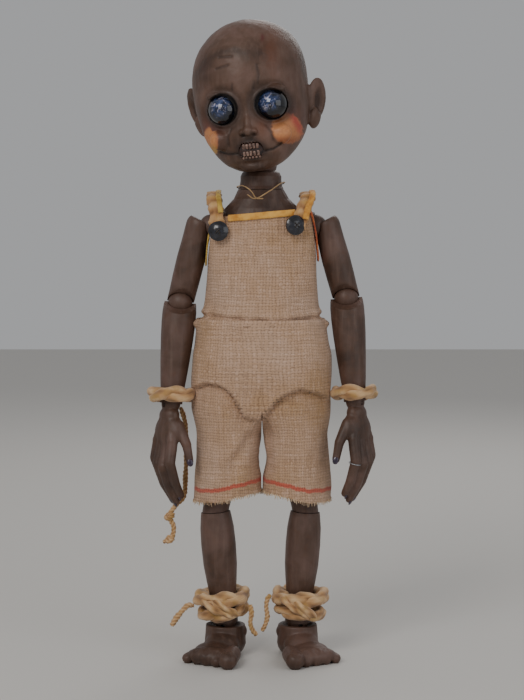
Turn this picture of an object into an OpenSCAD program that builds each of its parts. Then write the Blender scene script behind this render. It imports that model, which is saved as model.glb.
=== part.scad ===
// Strung ball-jointed doll in a hessian romper. Hollow resin limbs are held
// together by elastic that runs inside them. The doll stands on its soles,
// faces -Y, and its own right side is on -X. Millimetres.

/* [Head] */
// Half width of the cranium
skull_r = 53.5; // [50:0.5:56]
// Wall of the cast resin shells
wall = 3; // [2.5:0.5:3.5]
// Radius of each glass eye
eye_r = 14; // [12:0.5:15]
// Lean of the head towards the doll's right
head_roll = 6; // [0:1:8]
// Turn of the head towards the doll's right
head_yaw = 8.5; // [0:0.5:9]

/* [Arms] */
// Radius of the loose ball in each elbow
elbow_ball_r = 11.5; // [11:0.25:11.5]
// Largest radius of the forearm
forearm_r = 16; // [15.5:0.25:16.5]
// Most that an elbow bends
elbow_bend = 75; // [60:5:75]
// Radius of the ball on top of each hand
wrist_ball_r = 9; // [8.5:0.25:9]

/* [Legs] */
// Radius of the loose ball in each knee
knee_ball_r = 10.75; // [10.25:0.25:10.75]
// Largest radius of the calf
calf_r = 16.5; // [15.5:0.5:17]
// Most that a knee bends
knee_bend = 75; // [60:5:75]
// Most that a thigh swings forward
hip_swing = 60; // [45:5:60]
// Turn-out of each foot
toe_out = 17; // [12:1:18]

/* [Clothes] */
// Half width of the bib
bib_hw = 51; // [50:0.5:52]
// Half width of the romper at the hips
hips_hw = 65; // [64:0.5:66]
// Diameter of each strap button
button_d = 18.5; // [17:0.5:19]
// Thickness of the hessian
cloth = 2.5; // [2:0.5:3]

/* [Hidden] */

$fn = 48;
gap = 0.35;          // running gap of every ball in its socket
tiny = 0.01;
resin = "#5b463f";
hessian = "#a58a72";
strip = "#c99a62";   // twisted cotton strips

// Joint centres. Each pair is [doll's right, doll's left].
mid_x = -3;
neck_base = [mid_x - 1, 4, 443];
head_pivot = [mid_x - 1, 4, 466];
shoulder = [[mid_x - 48, 1, 409], [mid_x + 50, 1, 409]];
arm_top = [[mid_x - 59, 1, 409], [mid_x + 61, 1, 409]];
elbow = [[-80, 4, 337], [76.5, 4, 341]];
wrist = [[-88.5, -9, 242], [84.5, -9, 244]];
hip = [[mid_x - 27, 2, 252], [mid_x + 27, 2, 252]];
knee = [[-47, 0, 139], [38, 0, 139]];
ankle = [[-38, 3, 32], [31, 3, 32]];
side = [-1, 1];
shoulder_ball_r = 10.5;
hip_ball_r = 14;
elastic_r = 1.6;

// ---- shared geometry -------------------------------------------------

// A ring of a loft: s is [z, x centre, y centre, x radius, y radius].
function ring(s, n) = [for (i = [0:n - 1]) let (a = 360 * i / n)
    [s[1] + s[3] * cos(a), s[2] + s[4] * sin(a), s[0]]];
// A smooth curve through a list of vectors, k steps between neighbours.
function between(p, q, r, s, t) =
    0.5 * (2 * q + (r - p) * t + (2 * p - 5 * q + 4 * r - s) * t * t
    + (3 * q - p - 3 * r + s) * t * t * t);
function smooth(l, k) = let (e = len(l) - 1) concat(
    [for (i = [0:e - 1]) for (j = [0:k - 1])
        between(l[max(i - 1, 0)], l[i], l[i + 1], l[min(i + 2, e)], j / k)],
    [l[e]]);
function inset(l, w) = [for (s = l) [s[0], s[1], s[2], s[3] - w, s[4] - w]];
function along(a, b, t) = a + (b - a) * t;

// A closed skin over rings that run upwards, each counter-clockwise from above.
module skin(rings) {
    n = len(rings[0]);
    m = len(rings);
    points = [for (r = rings) each r];
    sides = [for (i = [0:m - 2]) for (j = [0:n - 1]) let (k = (j + 1) % n)
        each [[i * n + j, (i + 1) * n + j, (i + 1) * n + k], [i * n + j, (i + 1) * n + k, i * n + k]]];
    bottom = [for (j = [0:n - 1]) j];
    top = [for (j = [n - 1:-1:0]) (m - 1) * n + j];
    polyhedron(points, concat(sides, [bottom, top]));
}
module loft(sections, steps = 2, n = 28) skin([for (s = smooth(sections, steps)) ring(s, n)]);

// Puts a limb drawn from the origin down -Z between two joint centres. Its own X
// stays level with the ground as far as the limb allows, so it is the hinge's axis.
function tilt(a, b) = let (u = (b - a) / norm(b - a)) [asin(u[1]), atan2(-u[0], -u[2]), 0];
module limb_at(a, b) translate(a) rotate(tilt(a, b)) children();

// A tube swept along a smooth route through points, closed at both ends.
function unit(v) = v / norm(v);
module swept(route, r, steps = 3, n = 8) {
    p = smooth(route, steps);
    e = len(p) - 1;
    rings = [for (i = [0:e]) let (
        t = unit(p[min(i + 1, e)] - p[max(i - 1, 0)]),
        u = unit(cross(t, abs(t[1]) > 0.9 ? [1, 0, 0] : [0, 1, 0])),
        v = cross(t, u))
        [for (j = [0:n - 1]) p[i] + r * (cos(360 * j / n) * u + sin(360 * j / n) * v)]];
    skin(rings);
}

// Trims the lower limb of a joint: level on the far side of the joint's centre, and
// depth degrees lower on the side it bends to, -1 in front or 1 behind. Mirrored in
// Z it trims the upper limb.
module joint_cut(bend, depth) {
    big = 60;
    rotate([90, 0, 90]) linear_extrude(2 * big, center = true)
        polygon([[-bend * big, -0.2], [0, -0.2],
            [bend * big * cos(depth), -0.2 - big * sin(depth)],
            [bend * big, big], [-bend * big, big]]);
}

// ---- head ------------------------------------------------------------

module head_pose() translate(head_pivot) rotate([0, -head_roll, -head_yaw]) children();
// Rings of the head from the chin to the crown, about the neck pivot.
head_rings = [
    [-6.5, 0, -30, 9, 8], [-4, 0, -29, 17, 16], [2, 0, -25, 28, 26], [12, 0, -18, 38, 36],
    [26, 0, -11, 46.5, 46], [42, -1, -5, 51, 53], [62, -2, -2, skull_r, 58], [84, -2, -1, skull_r, 60],
    [104, -1, -1, 49, 56], [120, 0, 0, 38.5, 45], [130, 0, 0, 24, 29], [134.5, 0, 0, 8, 10],
];
eye_x = 22.5;
eye_y = -45;
eye_z = 51;
cap_y = 14;          // plane behind the ears where the cap comes off
head_n = 26;

module eye_place(i) translate([side[i] * eye_x, eye_y, eye_z]) children();

module head_solid() {
    loft(head_rings, 2, head_n);
    hull() {
        translate([0, -61, 29]) sphere(4.5, $fn = 14);
        translate([0, -56, 46]) sphere(2, $fn = 14);
        for (s = side) translate([s * 6.5, -57.5, 27]) sphere(3.5, $fn = 14);
    }
    for (s = side) hull() {
        translate([s * 50, 4, 66]) sphere(4, $fn = 14);
        translate([s * 48, 3, 36]) sphere(3, $fn = 14);
        translate([s * 64, 9, 78]) sphere(3, $fn = 14);
        translate([s * 66, 10, 64]) sphere(3, $fn = 14);
        translate([s * 57, 6, 42]) sphere(3, $fn = 14);
    }
}
module head_shell() difference() {
    head_solid();
    difference() {
        loft(inset([for (i = [2:10]) head_rings[i]], wall), 2, head_n);
        translate([0, 0, -8]) cylinder(r = 26, h = 14);
        translate([0, 0, -40]) cylinder(r = 90, h = 46);
    }
    translate([0, 0, -30]) cylinder(r = 23.5, h = 32.5);
    sphere(15 + gap);
    for (i = [0, 1]) eye_place(i) sphere(eye_r + gap);
    translate([0, -52, 12]) cube([24, 9, 14.6], center = true);
}
module head_face() color(resin) head_pose() difference() {
    head_shell();
    translate([-100, cap_y, -50]) cube([200, 200, 250]);
    for (s = side) translate([s * 40, cap_y - 3.6, 96]) rotate([-90, 0, 0]) cylinder(r = 3.1, h = 8);
}
module head_cap() color(resin) head_pose() intersection() {
    head_shell();
    translate([-100, cap_y + 0.2, -50]) cube([200, 200, 250]);
}
module cap_magnets() color("silver") head_pose()
    for (s = side) translate([s * 40, cap_y - 3.5, 96]) rotate([-90, 0, 0]) cylinder(r = 3, h = 3.4);
module eye(i) color("#33415c") head_pose() eye_place(i) sphere(eye_r);
module eye_wax() color("#2a211d") head_pose() for (i = [0, 1]) eye_place(i) difference() {
    rotate([-90, 0, 0]) cylinder(r = 9.5, h = 16);
    sphere(eye_r + 0.05);
}
module teeth() color("#b59a8b") head_pose() {
    for (row = [0, 1], k = [-2.5:1:2.5])
        translate([k * 3.4, -53, row == 0 ? 15.8 : 8.3]) scale(row == 0 ? 1 : 0.9)
            cylinder(r = 1.7, h = 6.4, center = true, $fn = 20);
    translate([0, -49.6, 12]) cube([23, 3.4, 13.8], center = true);
}
module neck_hook() color("silver") head_pose() {
    translate([0, 0, 25.5]) rotate([90, 0, 0]) cylinder(r = 1.5, h = 36, center = true);
    translate([0, 0, 21.6]) cylinder(r = 1, h = 4);
    translate([0, 0, 18.9]) rotate([90, 0, 0]) rotate_extrude() translate([2.4, 0]) circle(0.9);
}

// ---- torso and neck --------------------------------------------------

module neck() color(resin) difference() {
    union() {
        translate([neck_base[0], neck_base[1], 0]) rotate_extrude() polygon([
            [0, 432], [11.6, 432], [11.6, neck_base[2]], [21.5, neck_base[2]], [20, 446],
            [19.2, 451], [19.2, 455], [17.5, 458.5], [14, 460.5], [0, 460.5]]);
        translate(head_pivot) sphere(15);
    }
    translate([neck_base[0], neck_base[1], 420]) cylinder(r = 4.5, h = 70);
}
// Rings of the torso from the crotch to the collar.
torso_rings = [
    [226, mid_x, 2, 12, 12], [232, mid_x, 2, 28, 19], [242, mid_x, 3, 41, 25.5], [258, mid_x, 3, 46, 26.5],
    [280, mid_x, 2, 45, 28], [304, mid_x, 1, 40, 27], [325, mid_x, 1, 36, 25], [350, mid_x, 0, 38, 26],
    [380, mid_x, 1, 42, 27], [400, mid_x, 2, 44, 24], [415, mid_x, 3, 42, 21], [425, mid_x, 4, 35, 19],
    [434, mid_x - 0.5, 4, 26, 18.5], [442.7, mid_x - 1, 4, 21.5, 20],
];
torso_n = 28;
// Room in the pelvis for a thigh that swings from 10 degrees back to hip_swing forward.
module thigh_room(i) rotate([90, 0, 90]) translate([0, 0, i == 0 ? -60 : -20.5])
    linear_extrude(80.5) polygon([[0, 0], [-20.5 * cos(hip_swing), 20.5 * sin(hip_swing)],
        [-60, 20.5 - 49 / tan(hip_swing)], [-60, -60], [31, -60], [20.5, 4]]);
module torso() color(resin) difference() {
    union() {
        loft(torso_rings, 1, torso_n);
        for (i = [0, 1]) translate(shoulder[i]) rotate([0, -side[i] * 90, 0])
            translate([0, 0, 0.6]) cylinder(r1 = 12.5, r2 = 14, h = 14);
    }
    loft(inset([for (i = [4:11]) torso_rings[i]], wall), 1, torso_n);
    for (i = [0, 1]) {
        translate(shoulder[i]) sphere(shoulder_ball_r + gap);
        translate(shoulder[i]) rotate([0, -side[i] * 90, 0]) cylinder(r = 5, h = 30);
        translate(hip[i]) sphere(hip_ball_r + gap);
        translate(hip[i]) thigh_room(i);
        translate(hip[i]) cylinder(r = 6, h = 40);
    }
    translate([neck_base[0], neck_base[1], 400]) cylinder(r = 11.6 + gap, h = 50);
}
module neck_elastic()
    translate([neck_base[0], neck_base[1], 330]) cylinder(r = elastic_r, h = 139.5);
module arm_elastic() difference() {
    translate([shoulder[0][0] + 13, 1, 409]) rotate([0, 90, 0])
        cylinder(r = elastic_r, h = shoulder[1][0] - shoulder[0][0] - 26);
    translate([neck_base[0], neck_base[1], 400]) cylinder(r = 3.5, h = 20);
}
module leg_elastics() {
    for (i = [0, 1]) limb_at([mid_x + side[i] * 5, 4, 322], hip[i] + [0, 0, 18])
        translate([0, 0, -norm(hip[i] + [0, 0, 18] - [mid_x + side[i] * 5, 4, 322])])
            cylinder(r = elastic_r, h = norm(hip[i] + [0, 0, 18] - [mid_x + side[i] * 5, 4, 322]));
}

module torso_elastics() color("white") {
    neck_elastic();
    arm_elastic();
    leg_elastics();
}

// ---- romper ----------------------------------------------------------

// Outer rings of the bib, from the waist seam to its top edge.
bib_rings = [
    [320, mid_x - 1, 0, 58, 37], [328, mid_x - 1, 0, 55.5, 36], [340, mid_x, 0, 52.5, 34.5],
    [365, mid_x, 0, bib_hw, 33.5], [392, mid_x, 0, bib_hw - 1, 32], [419, mid_x, 0, bib_hw - 3, 30],
];
// Outer rings of the seat, from below the buttocks to the waist seam.
seat_rings = [
    [226, mid_x - 0.5, 4, hips_hw, 42], [250, mid_x - 0.5, 2, hips_hw, 44], [270, mid_x - 0.5, 0, hips_hw, 44],
    [288, mid_x - 0.5, 0, hips_hw - 1, 44], [300, mid_x - 0.5, 0, hips_hw - 3.5, 42],
    [312, mid_x - 0.5, 0, hips_hw - 5, 39.5], [319.8, mid_x - 0.5, 0, 59, 38],
];
armhole_r = 30;
module armholes(grow) for (i = [0, 1])
    translate(shoulder[i] + [side[i] * -12, 0, 3]) rotate([0, side[i] * 90, 0])
        cylinder(r = armhole_r + grow, h = 45);
module romper_bib() color(hessian) difference() {
    loft(bib_rings, 2, 36);
    loft(open_ends(bib_rings), 2, 36);
    armholes(0);
    translate([mid_x, 1, 420]) rotate([90, 0, 0]) scale([1, 0.2, 1]) cylinder(r = 36, h = 90, center = true);
}
// Opens a shell at both ends: the first and last ring of its inside reach past them.
function open_ends(rings) = let (l = inset(rings, cloth), e = len(l) - 1)
    [for (k = [0:e]) l[k] + [k == 0 ? -1 : k == e ? 1 : 0, 0, 0, 0, 0]];
// The seat's lower edge is high in front, where the thighs swing up, and low behind,
// and a round opening in each side holds the top of a leg that turns in it.
module romper_hips() color(hessian) difference() {
    loft(seat_rings, 2, 36);
    loft(open_ends(seat_rings), 2, 36);
    translate([0, hip[0][1], hip[0][2]]) rotate([0, 90, 0]) cylinder(r = 34.8, h = 200, center = true);
    rotate([90, 0, 90]) linear_extrude(200, center = true)
        polygon([[-70, 200], [-70, 271], [-30, 271], [10, 263], [34, 238], [70, 238], [70, 200]]);
}
module bib_binding() for (s = side)
    translate([mid_x, s * 33.4, 411]) rotate([s * -3, 0, 0]) cube([60, 1.6, 6.5], center = true);
module armhole_bindings() for (i = [0, 1]) intersection() {
    translate(shoulder[i] + [side[i] * -5.4, 0, 3]) rotate([0, side[i] * 90, 0]) difference() {
        cylinder(r = armhole_r - 0.4, h = 7.2);
        translate([0, 0, -1]) cylinder(r = armhole_r - 2.6, h = 12);
    }
    translate(shoulder[i] + [-50, -40, -46]) cube([100, 80, 36]);
}
module romper_bindings() color("#d99a3c") {
    bib_binding();
    armhole_bindings();
}
strap_x = 41.5;
strap_r = 29;
module strap(i) color(strip) translate([mid_x + side[i] * strap_x, 1, 413])
    rotate([90, 0, 90]) translate([0, 0, -6.5]) difference() {
        cylinder(r = strap_r, h = 13);
        translate([0, 0, -1]) cylinder(r = strap_r - 3.5, h = 15);
        translate([-50, -50 - 2, -1]) cube([100, 50, 15]);
    }
button_at = [[-43.2, -31.4, 404], [28, -34.8, 409.5]];
module button(i) translate(button_at[i])
    rotate([90, 0, 0]) difference() {
        intersection() {
            cylinder(d = button_d, h = 5.2);
            translate([0, 0, -9.5]) sphere(14.6);
        }
        for (a = [45:90:315]) rotate(a) translate([2.4, 0, -1]) cylinder(r = 0.9, h = 9, $fn = 16);
    }
module strap_buttons() color("#17161c") {
    button(0);
    button(1);
}
module neck_cord() color("#b08a58") translate([neck_base[0], neck_base[1], 0]) {
    translate([0, -1, 446.5]) rotate([6, -4, 0]) rotate_extrude() translate([22.5, 0]) circle(0.6);
    swept([[-3, -23.5, 443], [-5, -25, 439], [-8, -27, 434.5]], 0.6, 3, 8);
    swept([[-1.5, -23.5, 443], [-1, -25.4, 439], [3, -27, 435]], 0.6, 3, 8);
}

// ---- arms ------------------------------------------------------------

module ball(p, r, bore, tip) color(resin) translate(p) rotate(tip) difference() {
    sphere(r);
    cylinder(r = bore, h = 3 * r, center = true);
}
// The upper arm: a closed dome beside the shoulder ball and a cup over the elbow ball.
module upper_arm(i) color(resin) {
    long = norm(elbow[i] - arm_top[i]);
    difference() {
        limb_at(arm_top[i], elbow[i]) {
            rotate_extrude() polygon([[0, 0], [12.5, 0], [12.7, -14], [13.4, -0.45 * long],
                [13.2, -0.7 * long], [12.8, 8 - long], [12.8, -long - 3], [0, -long - 3]]);
            sphere(12.5);
        }
        limb_at(arm_top[i], elbow[i]) {
            translate([0, 0, 14 - long]) cylinder(r = 9, h = long - 30);
            translate([0, 0, -long - 20]) cylinder(r = 3.5, h = 36);
            translate([0, 0, -17]) cylinder(r = 4, h = 17);
        }
        limb_at(elbow[i], wrist[i]) mirror([0, 0, 1]) joint_cut(-1, elbow_bend / 2 + 0.5);
        translate(elbow[i]) sphere(elbow_ball_r + gap);
        translate(shoulder[i]) sphere(shoulder_ball_r + gap);
        translate(shoulder[i]) rotate([0, side[i] * 90, 0]) cylinder(r = 4, h = 12);
        // the face beside the torso, opened above the ball so that the arm can rise
        translate(shoulder[i] + [side[i] * 0.6, 0, 0]) rotate([0, side[i] * -90, 0])
            translate([-60, -60, 0]) cube([120, 120, 60]);
        translate(shoulder[i]) rotate([90, 0, 0]) linear_extrude(80, center = true)
            polygon([[0, 0.2], [side[i] * 60 * sin(62), 60 * cos(62)], [side[i] * 60, 70], [-side[i] * 60, 70]]);
    }
}
module forearm(i) color(resin) {
    long = norm(wrist[i] - elbow[i]);
    difference() {
        limb_at(elbow[i], wrist[i]) rotate_extrude() polygon([
            [0, 1], [14.6, 1], [15.4, -3], [forearm_r, -9], [forearm_r, -20], [15.4, -0.35 * long],
            [13.6, -0.6 * long], [12, -0.78 * long], [10.6, -0.9 * long], [10.6, 0.4 - long], [0, 0.4 - long]]);
        translate(elbow[i]) sphere(elbow_ball_r + gap);
        limb_at(elbow[i], wrist[i]) {
            translate([0, 0, -long + 12]) cylinder(r = 7, h = long);
            translate([0, 0, -long - 1]) cylinder(r = 4.6, h = 20);
            joint_cut(-1, elbow_bend / 2 + 0.5);
        }
        translate(wrist[i]) sphere(wrist_ball_r + gap);
    }
}
module elastic_in(a, b, from, to) color("white") limb_at(a, b)
    translate([0, 0, -to]) cylinder(r = elastic_r, h = to - from);
module upper_arm_elastic(i) elastic_in(arm_top[i], elbow[i], 7, norm(elbow[i] - arm_top[i]) - 12.2);
module forearm_elastic(i) elastic_in(elbow[i], wrist[i], 3, norm(wrist[i] - elbow[i]) - 21.5);

// A wire hook: an eye at the joint's centre, a stem up the limb, and an eye for the elastic.
module hook(a, b, stem, turn) color("silver") limb_at(a, b) translate([0, 0, -norm(b - a)]) {
    rotate([0, 90, turn]) rotate_extrude($fn = 32) translate([2.9, 0]) circle(0.9, $fn = 16);
    translate([0, 0, 2.9]) cylinder(r = 0.9, h = stem, $fn = 16);
    translate([0, 0, stem + 5.2]) rotate([0, 90, 0]) rotate_extrude($fn = 32) translate([2.6, 0]) circle(0.9, $fn = 16);
}
module wrist_wrap(i) color(strip) limb_at(elbow[i], wrist[i])
    translate([0, 0, 6.2 - norm(wrist[i] - elbow[i])]) rotate([0, side[i] * 4, 0])
        rotate_extrude() translate([15.8, 0]) circle(4.6);

// A bar with round ends, of radius r at p and q at its far end.
module bar(a, ra, b, rb) hull() {
    translate(a) sphere(ra, $fn = 12);
    translate(b) sphere(rb, $fn = 12);
}
// Finger bones: base, middle and end joints and the tip, for a hand that hangs from
// the origin with its palm towards -X and its thumb towards -Y.
fingers = [
    [[1, -11.5, -36], [1, -13, -56], [-8, -12, -73], [-18, -10, -84]],
    [[1, -3.8, -38], [2, -4.2, -60], [-8, -4, -78], [-19, -3, -90]],
    [[1, 4, -37], [2, 4.4, -58], [-8, 4, -75], [-19, 4, -87]],
    [[1, 11.5, -35], [1, 12.6, -52], [-8, 12, -67], [-18, 11, -77]],
];
thumb = [[-3, -12, -20], [-9, -21, -37], [-13, -24, -52]];
finger_r = [5, 4.6, 4.1, 3.4];
hand_turn = 38;
module hand_place(i) limb_at(elbow[i], wrist[i]) translate([0, 0, -norm(wrist[i] - elbow[i])])
    rotate([0, -side[i] * 3, side[i] * -hand_turn]) mirror([1 - i, 0, 0]) children();
module hand(i) color(resin) hand_place(i) {
    difference() {
        union() {
            sphere(wrist_ball_r, $fn = 32);
            hull() {
                translate([0, 0, -8]) sphere(7.5, $fn = 16);
                translate([0, -3, -18]) sphere(8, $fn = 16);
                translate([0, 4, -18]) sphere(8, $fn = 16);
                for (f = fingers) translate(f[0]) sphere(5.6, $fn = 16);
            }
        }
        translate([-20, -2, -4.2]) cube([40, 4, 30]);
    }
    rotate([90, 0, 0]) cylinder(r = 1.2, h = 8, center = true, $fn = 12);
    for (f = fingers, k = [0:2]) bar(f[k], finger_r[k], f[k + 1], finger_r[k + 1]);
    for (k = [0, 1]) bar(thumb[k], 5.8 - k, thumb[k + 1], 4.8 - k);
}
module finger_ring_l() color("silver") hand_place(1)
    translate(along(fingers[0][1], fingers[0][2], 0.1)) rotate([0, 24, 0]) rotate_extrude() translate([5.6, 0]) circle(0.5, $fn = 12);

// ---- legs ------------------------------------------------------------

module thigh(i) color(resin) {
    long = norm(knee[i] - hip[i]);
    difference() {
        limb_at(hip[i], knee[i]) rotate_extrude() polygon([
            [0, -4.5], [15.5, -4.5], [18.5, -11], [19, -21], [18.6, -0.5 * long], [16.5, -0.75 * long],
            [13.4, 14 - long], [12.4, 5 - long], [12.4, -long - 3], [0, -long - 3]]);
        translate(hip[i]) sphere(hip_ball_r + gap);
        translate(knee[i]) sphere(knee_ball_r + gap);
        limb_at(hip[i], knee[i]) {
            translate([0, 0, 16 - long]) cylinder(r = 9, h = long);
            translate([0, 0, -long - 20]) cylinder(r = 3.2, h = 40);
        }
        limb_at(knee[i], ankle[i]) mirror([0, 0, 1]) joint_cut(1, knee_bend / 2 + 0.5);
    }
}
module shin(i) color(resin) {
    long = norm(ankle[i] - knee[i]);
    difference() {
        limb_at(knee[i], ankle[i]) rotate_extrude() polygon([
            [0, 1], [13.6, 1], [14.6, -5], [16, -16], [calf_r, -32], [16, -0.48 * long], [14.4, -0.62 * long],
            [13, -0.72 * long], [12.2, -0.8 * long], [12.2, 0.4 - long], [0, 0.4 - long]]);
        translate(knee[i]) sphere(knee_ball_r + gap);
        limb_at(knee[i], ankle[i]) {
            translate([0, 0, 14 - long]) cylinder(r = 8, h = long);
            translate([0, 0, -long - 1]) cylinder(r = 4.6, h = 20);
            joint_cut(1, knee_bend / 2 + 0.5);
        }
        translate(ankle[i]) sphere(10 + gap);
    }
}
module thigh_elastic(i) elastic_in(hip[i], knee[i], 16, norm(knee[i] - hip[i]) - 11.4);
module shin_elastic(i) elastic_in(knee[i], ankle[i], 3, norm(ankle[i] - knee[i]) - 21.5);
// Rings of a romper leg, from the frayed hem up inside the seat.
function leg_rings(i) = [
    [154, hip[i][0] + side[i] * 3.6, 0, 30.4, 30], [175, hip[i][0] + side[i] * 3.8, 0, 30.4, 30],
    [200, hip[i][0] + side[i] * 4, 0, 30.4, 30.5], [228, hip[i][0] + side[i] * 4, 0, 30.2, 32],
    [252, hip[i][0] + side[i] * 4.3, 0, 29.8, 33], [290, hip[i][0] + side[i] * 4.3, 0, 29.8, 33],
];
// The leg's upper edge is low in front, so that the thigh can swing forward, and
// its outer side is a disc about the hip, inside the seat.
module romper_leg(i) color(hessian) intersection() {
    difference() {
        loft(leg_rings(i), 2, 30);
        loft(open_ends(leg_rings(i)), 2, 30);
        translate(hip[i] + [side[i] * -40, 0, 0]) rotate([0, side[i] * 90, 0]) cylinder(r = 30.2, h = 60.5);
        translate([side[i] * -100 + hip[i][0] + side[i] * 20.5, 0, 0]) rotate([90, 0, 90])
            linear_extrude(200, center = true)
                polygon([[-60, 300], [-60, 226], [-20, 226], [30, 250], [60, 250], [60, 300]]);
    }
    translate([mid_x - 0.7 + (i == 0 ? -100 : 0.8), -50, 100]) cube([99.4, 100, 200]);
    union() {
        translate([-200, -100, 100]) cube([400, 200, hip[i][2] - 100]);
        translate([-200, hip[i][1], hip[i][2]]) rotate([0, 90, 0]) cylinder(r = 33.5, h = 400);
    }
}
module ankle_wrap(i) color(strip) limb_at(knee[i], ankle[i]) translate([0, 0, -norm(ankle[i] - knee[i])]) {
    translate([side[i] * 1.2, 0, 11.5]) rotate([2, side[i] * 5, 0]) rotate_extrude() translate([20, 0]) circle(6);
    translate([side[i] * 1, 0, 25]) rotate([-2, side[i] * -3, 0]) rotate_extrude() translate([21.2, 0]) circle(6.6);
}
module foot_place(i) translate([ankle[i][0], ankle[i][1], 0]) rotate([0, 0, side[i] * toe_out]) children();
module foot(i) color(resin) { foot_solid(i); foot_bar(i); }
module foot_solid(i) foot_place(i) {
    translate([0, 0, ankle[i][2]]) difference() {
        sphere(10);
        translate([-2, -20, -4.2]) cube([4, 40, 30]);
    }
    difference() {
        union() {
            hull() {
                translate([0, 0, 12]) sphere(19.5, $fn = 30);
                translate([0, 0, 20]) cylinder(r1 = 20, r2 = 18.6, h = 10, $fn = 40);
                translate([0, 13, 11]) sphere(14, $fn = 24);
            }
            hull() {
                translate([0, -8, 9]) sphere(17, $fn = 24);
                translate([-17.5, -43, 6]) sphere(9.6, $fn = 24);
                translate([17.5, -43, 6]) sphere(9.6, $fn = 24);
            }
            for (k = [0:4]) translate([-side[i] * (19.5 - 10.4 * k + (k > 0 ? -1.7 : 0)), -51 + 2.2 * k, 7])
                sphere(k == 0 ? 9.6 : 7.2 - 0.3 * k, $fn = 30);
        }
        translate([-60, -80, -40]) cube([120, 140, 40]);
        translate([0, 0, ankle[i][2] - 4.9]) cylinder(r1 = 12.9, r2 = 15.4, h = 5, $fn = 40);
        translate([0, 0, ankle[i][2]]) sphere(9.9);
    }
}
module foot_bar(i) foot_place(i) translate([0, 0, ankle[i][2]]) rotate([0, 90, 0])
    cylinder(r = 1.2, h = 8, center = true);

// ---- ties and tails --------------------------------------------------

module wrist_tail_r() color(strip)
    swept([[-80, 6, 237], [-76, 11, 220], [-75, 13, 195], [-76, 10, 170], [-77, 4, 153], [-85, 0, 144],
        [-91, 0, 134], [-87, 0, 124], [-89, 0, 113], [-97, 0, 109]], 2.2, 3, 8);
module ankle_tails_r() color(strip) {
    swept([[-68, -10, 50], [-73, -14, 51], [-78, -18, 47], [-84, -20, 40], [-87, -20, 34]], 2.4, 3, 8);
    swept([[-14, -15, 52], [-13, -17, 44], [-14, -17, 35], [-12, -16, 28], [-9, -16, 23]], 2.2, 3, 8);
}
module ankle_tail_l() color(strip)
    swept([[5, -13, 61], [2, -15, 57], [1, -16, 49], [2, -16, 41], [0, -16, 33], [-3, -16, 27]], 2, 3, 8);

torso();
torso_elastics();
neck();
romper_bib();
romper_hips();
romper_bindings();
strap(0);  // strap_r
strap(1);  // strap_l
strap_buttons();
neck_cord();
head_face();
head_cap();
cap_magnets();
eye(0);  // eye_r
eye(1);  // eye_l
eye_wax();
teeth();
neck_hook();
ball(shoulder[0], shoulder_ball_r, 3, [0, 90, 0]);
ball(shoulder[1], shoulder_ball_r, 3, [0, 90, 0]);  // shoulder_ball_l
upper_arm(0);  // upper_arm_r
upper_arm(1);  // upper_arm_l
upper_arm_elastic(0);  // upper_arm_elastic_r
upper_arm_elastic(1);  // upper_arm_elastic_l
forearm(0);  // forearm_r
forearm(1);  // forearm_l
forearm_elastic(0);  // forearm_elastic_r
forearm_elastic(1);  // forearm_elastic_l
wrist_wrap(0);  // wrist_wrap_r
wrist_wrap(1);  // wrist_wrap_l
wrist_tail_r();
hook(elbow[0], wrist[0], 11, 90 + hand_turn);  // wrist_hook_r
hook(elbow[1], wrist[1], 11, 90 - hand_turn);  // wrist_hook_l
hand(0);  // hand_r
hand(1);  // hand_l
finger_ring_l();
ball(hip[0], hip_ball_r, 4, [0, 0, 0]);
ball(hip[1], hip_ball_r, 4, [0, 0, 0]);  // hip_ball_l
ball(elbow[0], elbow_ball_r, 3, tilt(elbow[0], wrist[0]));
ball(elbow[1], elbow_ball_r, 3, tilt(elbow[1], wrist[1]));  // elbow_ball_l
ball(knee[0], knee_ball_r, 3, tilt(knee[0], ankle[0]));
ball(knee[1], knee_ball_r, 3, tilt(knee[1], ankle[1]));  // knee_ball_l
thigh(0);  // thigh_r
thigh(1);  // thigh_l
thigh_elastic(0);  // thigh_elastic_r
thigh_elastic(1);  // thigh_elastic_l
romper_leg(0);  // romper_leg_r
romper_leg(1);  // romper_leg_l
shin(0);  // shin_r
shin(1);  // shin_l
shin_elastic(0);  // shin_elastic_r
shin_elastic(1);  // shin_elastic_l
ankle_wrap(0);  // ankle_wrap_r
ankle_wrap(1);  // ankle_wrap_l
ankle_tails_r();
ankle_tail_l();
hook(knee[0], ankle[0], 11, -toe_out);  // ankle_hook_r
hook(knee[1], ankle[1], 11, toe_out);  // ankle_hook_l
foot(0);  // foot_r
foot(1);  // foot_l
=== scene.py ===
from math import asin, atan2, ceil, cos, exp, pi, radians, sin, sqrt

import bmesh
import bpy
from mathutils import Matrix, Vector, noise


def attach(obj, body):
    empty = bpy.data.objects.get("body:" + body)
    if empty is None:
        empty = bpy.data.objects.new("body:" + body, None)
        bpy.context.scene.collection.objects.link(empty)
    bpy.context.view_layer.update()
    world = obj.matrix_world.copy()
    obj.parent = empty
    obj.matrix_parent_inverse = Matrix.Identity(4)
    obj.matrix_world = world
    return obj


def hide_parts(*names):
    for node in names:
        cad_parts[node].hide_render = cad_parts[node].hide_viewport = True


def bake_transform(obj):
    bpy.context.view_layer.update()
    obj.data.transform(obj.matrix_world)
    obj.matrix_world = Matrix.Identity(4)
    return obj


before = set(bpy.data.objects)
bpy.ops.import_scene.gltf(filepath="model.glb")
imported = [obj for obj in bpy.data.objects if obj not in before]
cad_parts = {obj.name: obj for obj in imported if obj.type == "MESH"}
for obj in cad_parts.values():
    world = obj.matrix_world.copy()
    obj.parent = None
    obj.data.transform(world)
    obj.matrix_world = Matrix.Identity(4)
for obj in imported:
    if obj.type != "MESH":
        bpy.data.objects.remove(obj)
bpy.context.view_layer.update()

# ---- camera ----
# A long lens a little above the doll's chest, pointed level with its belt, so
# that the limbs keep their proportions from head to soles.

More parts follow.
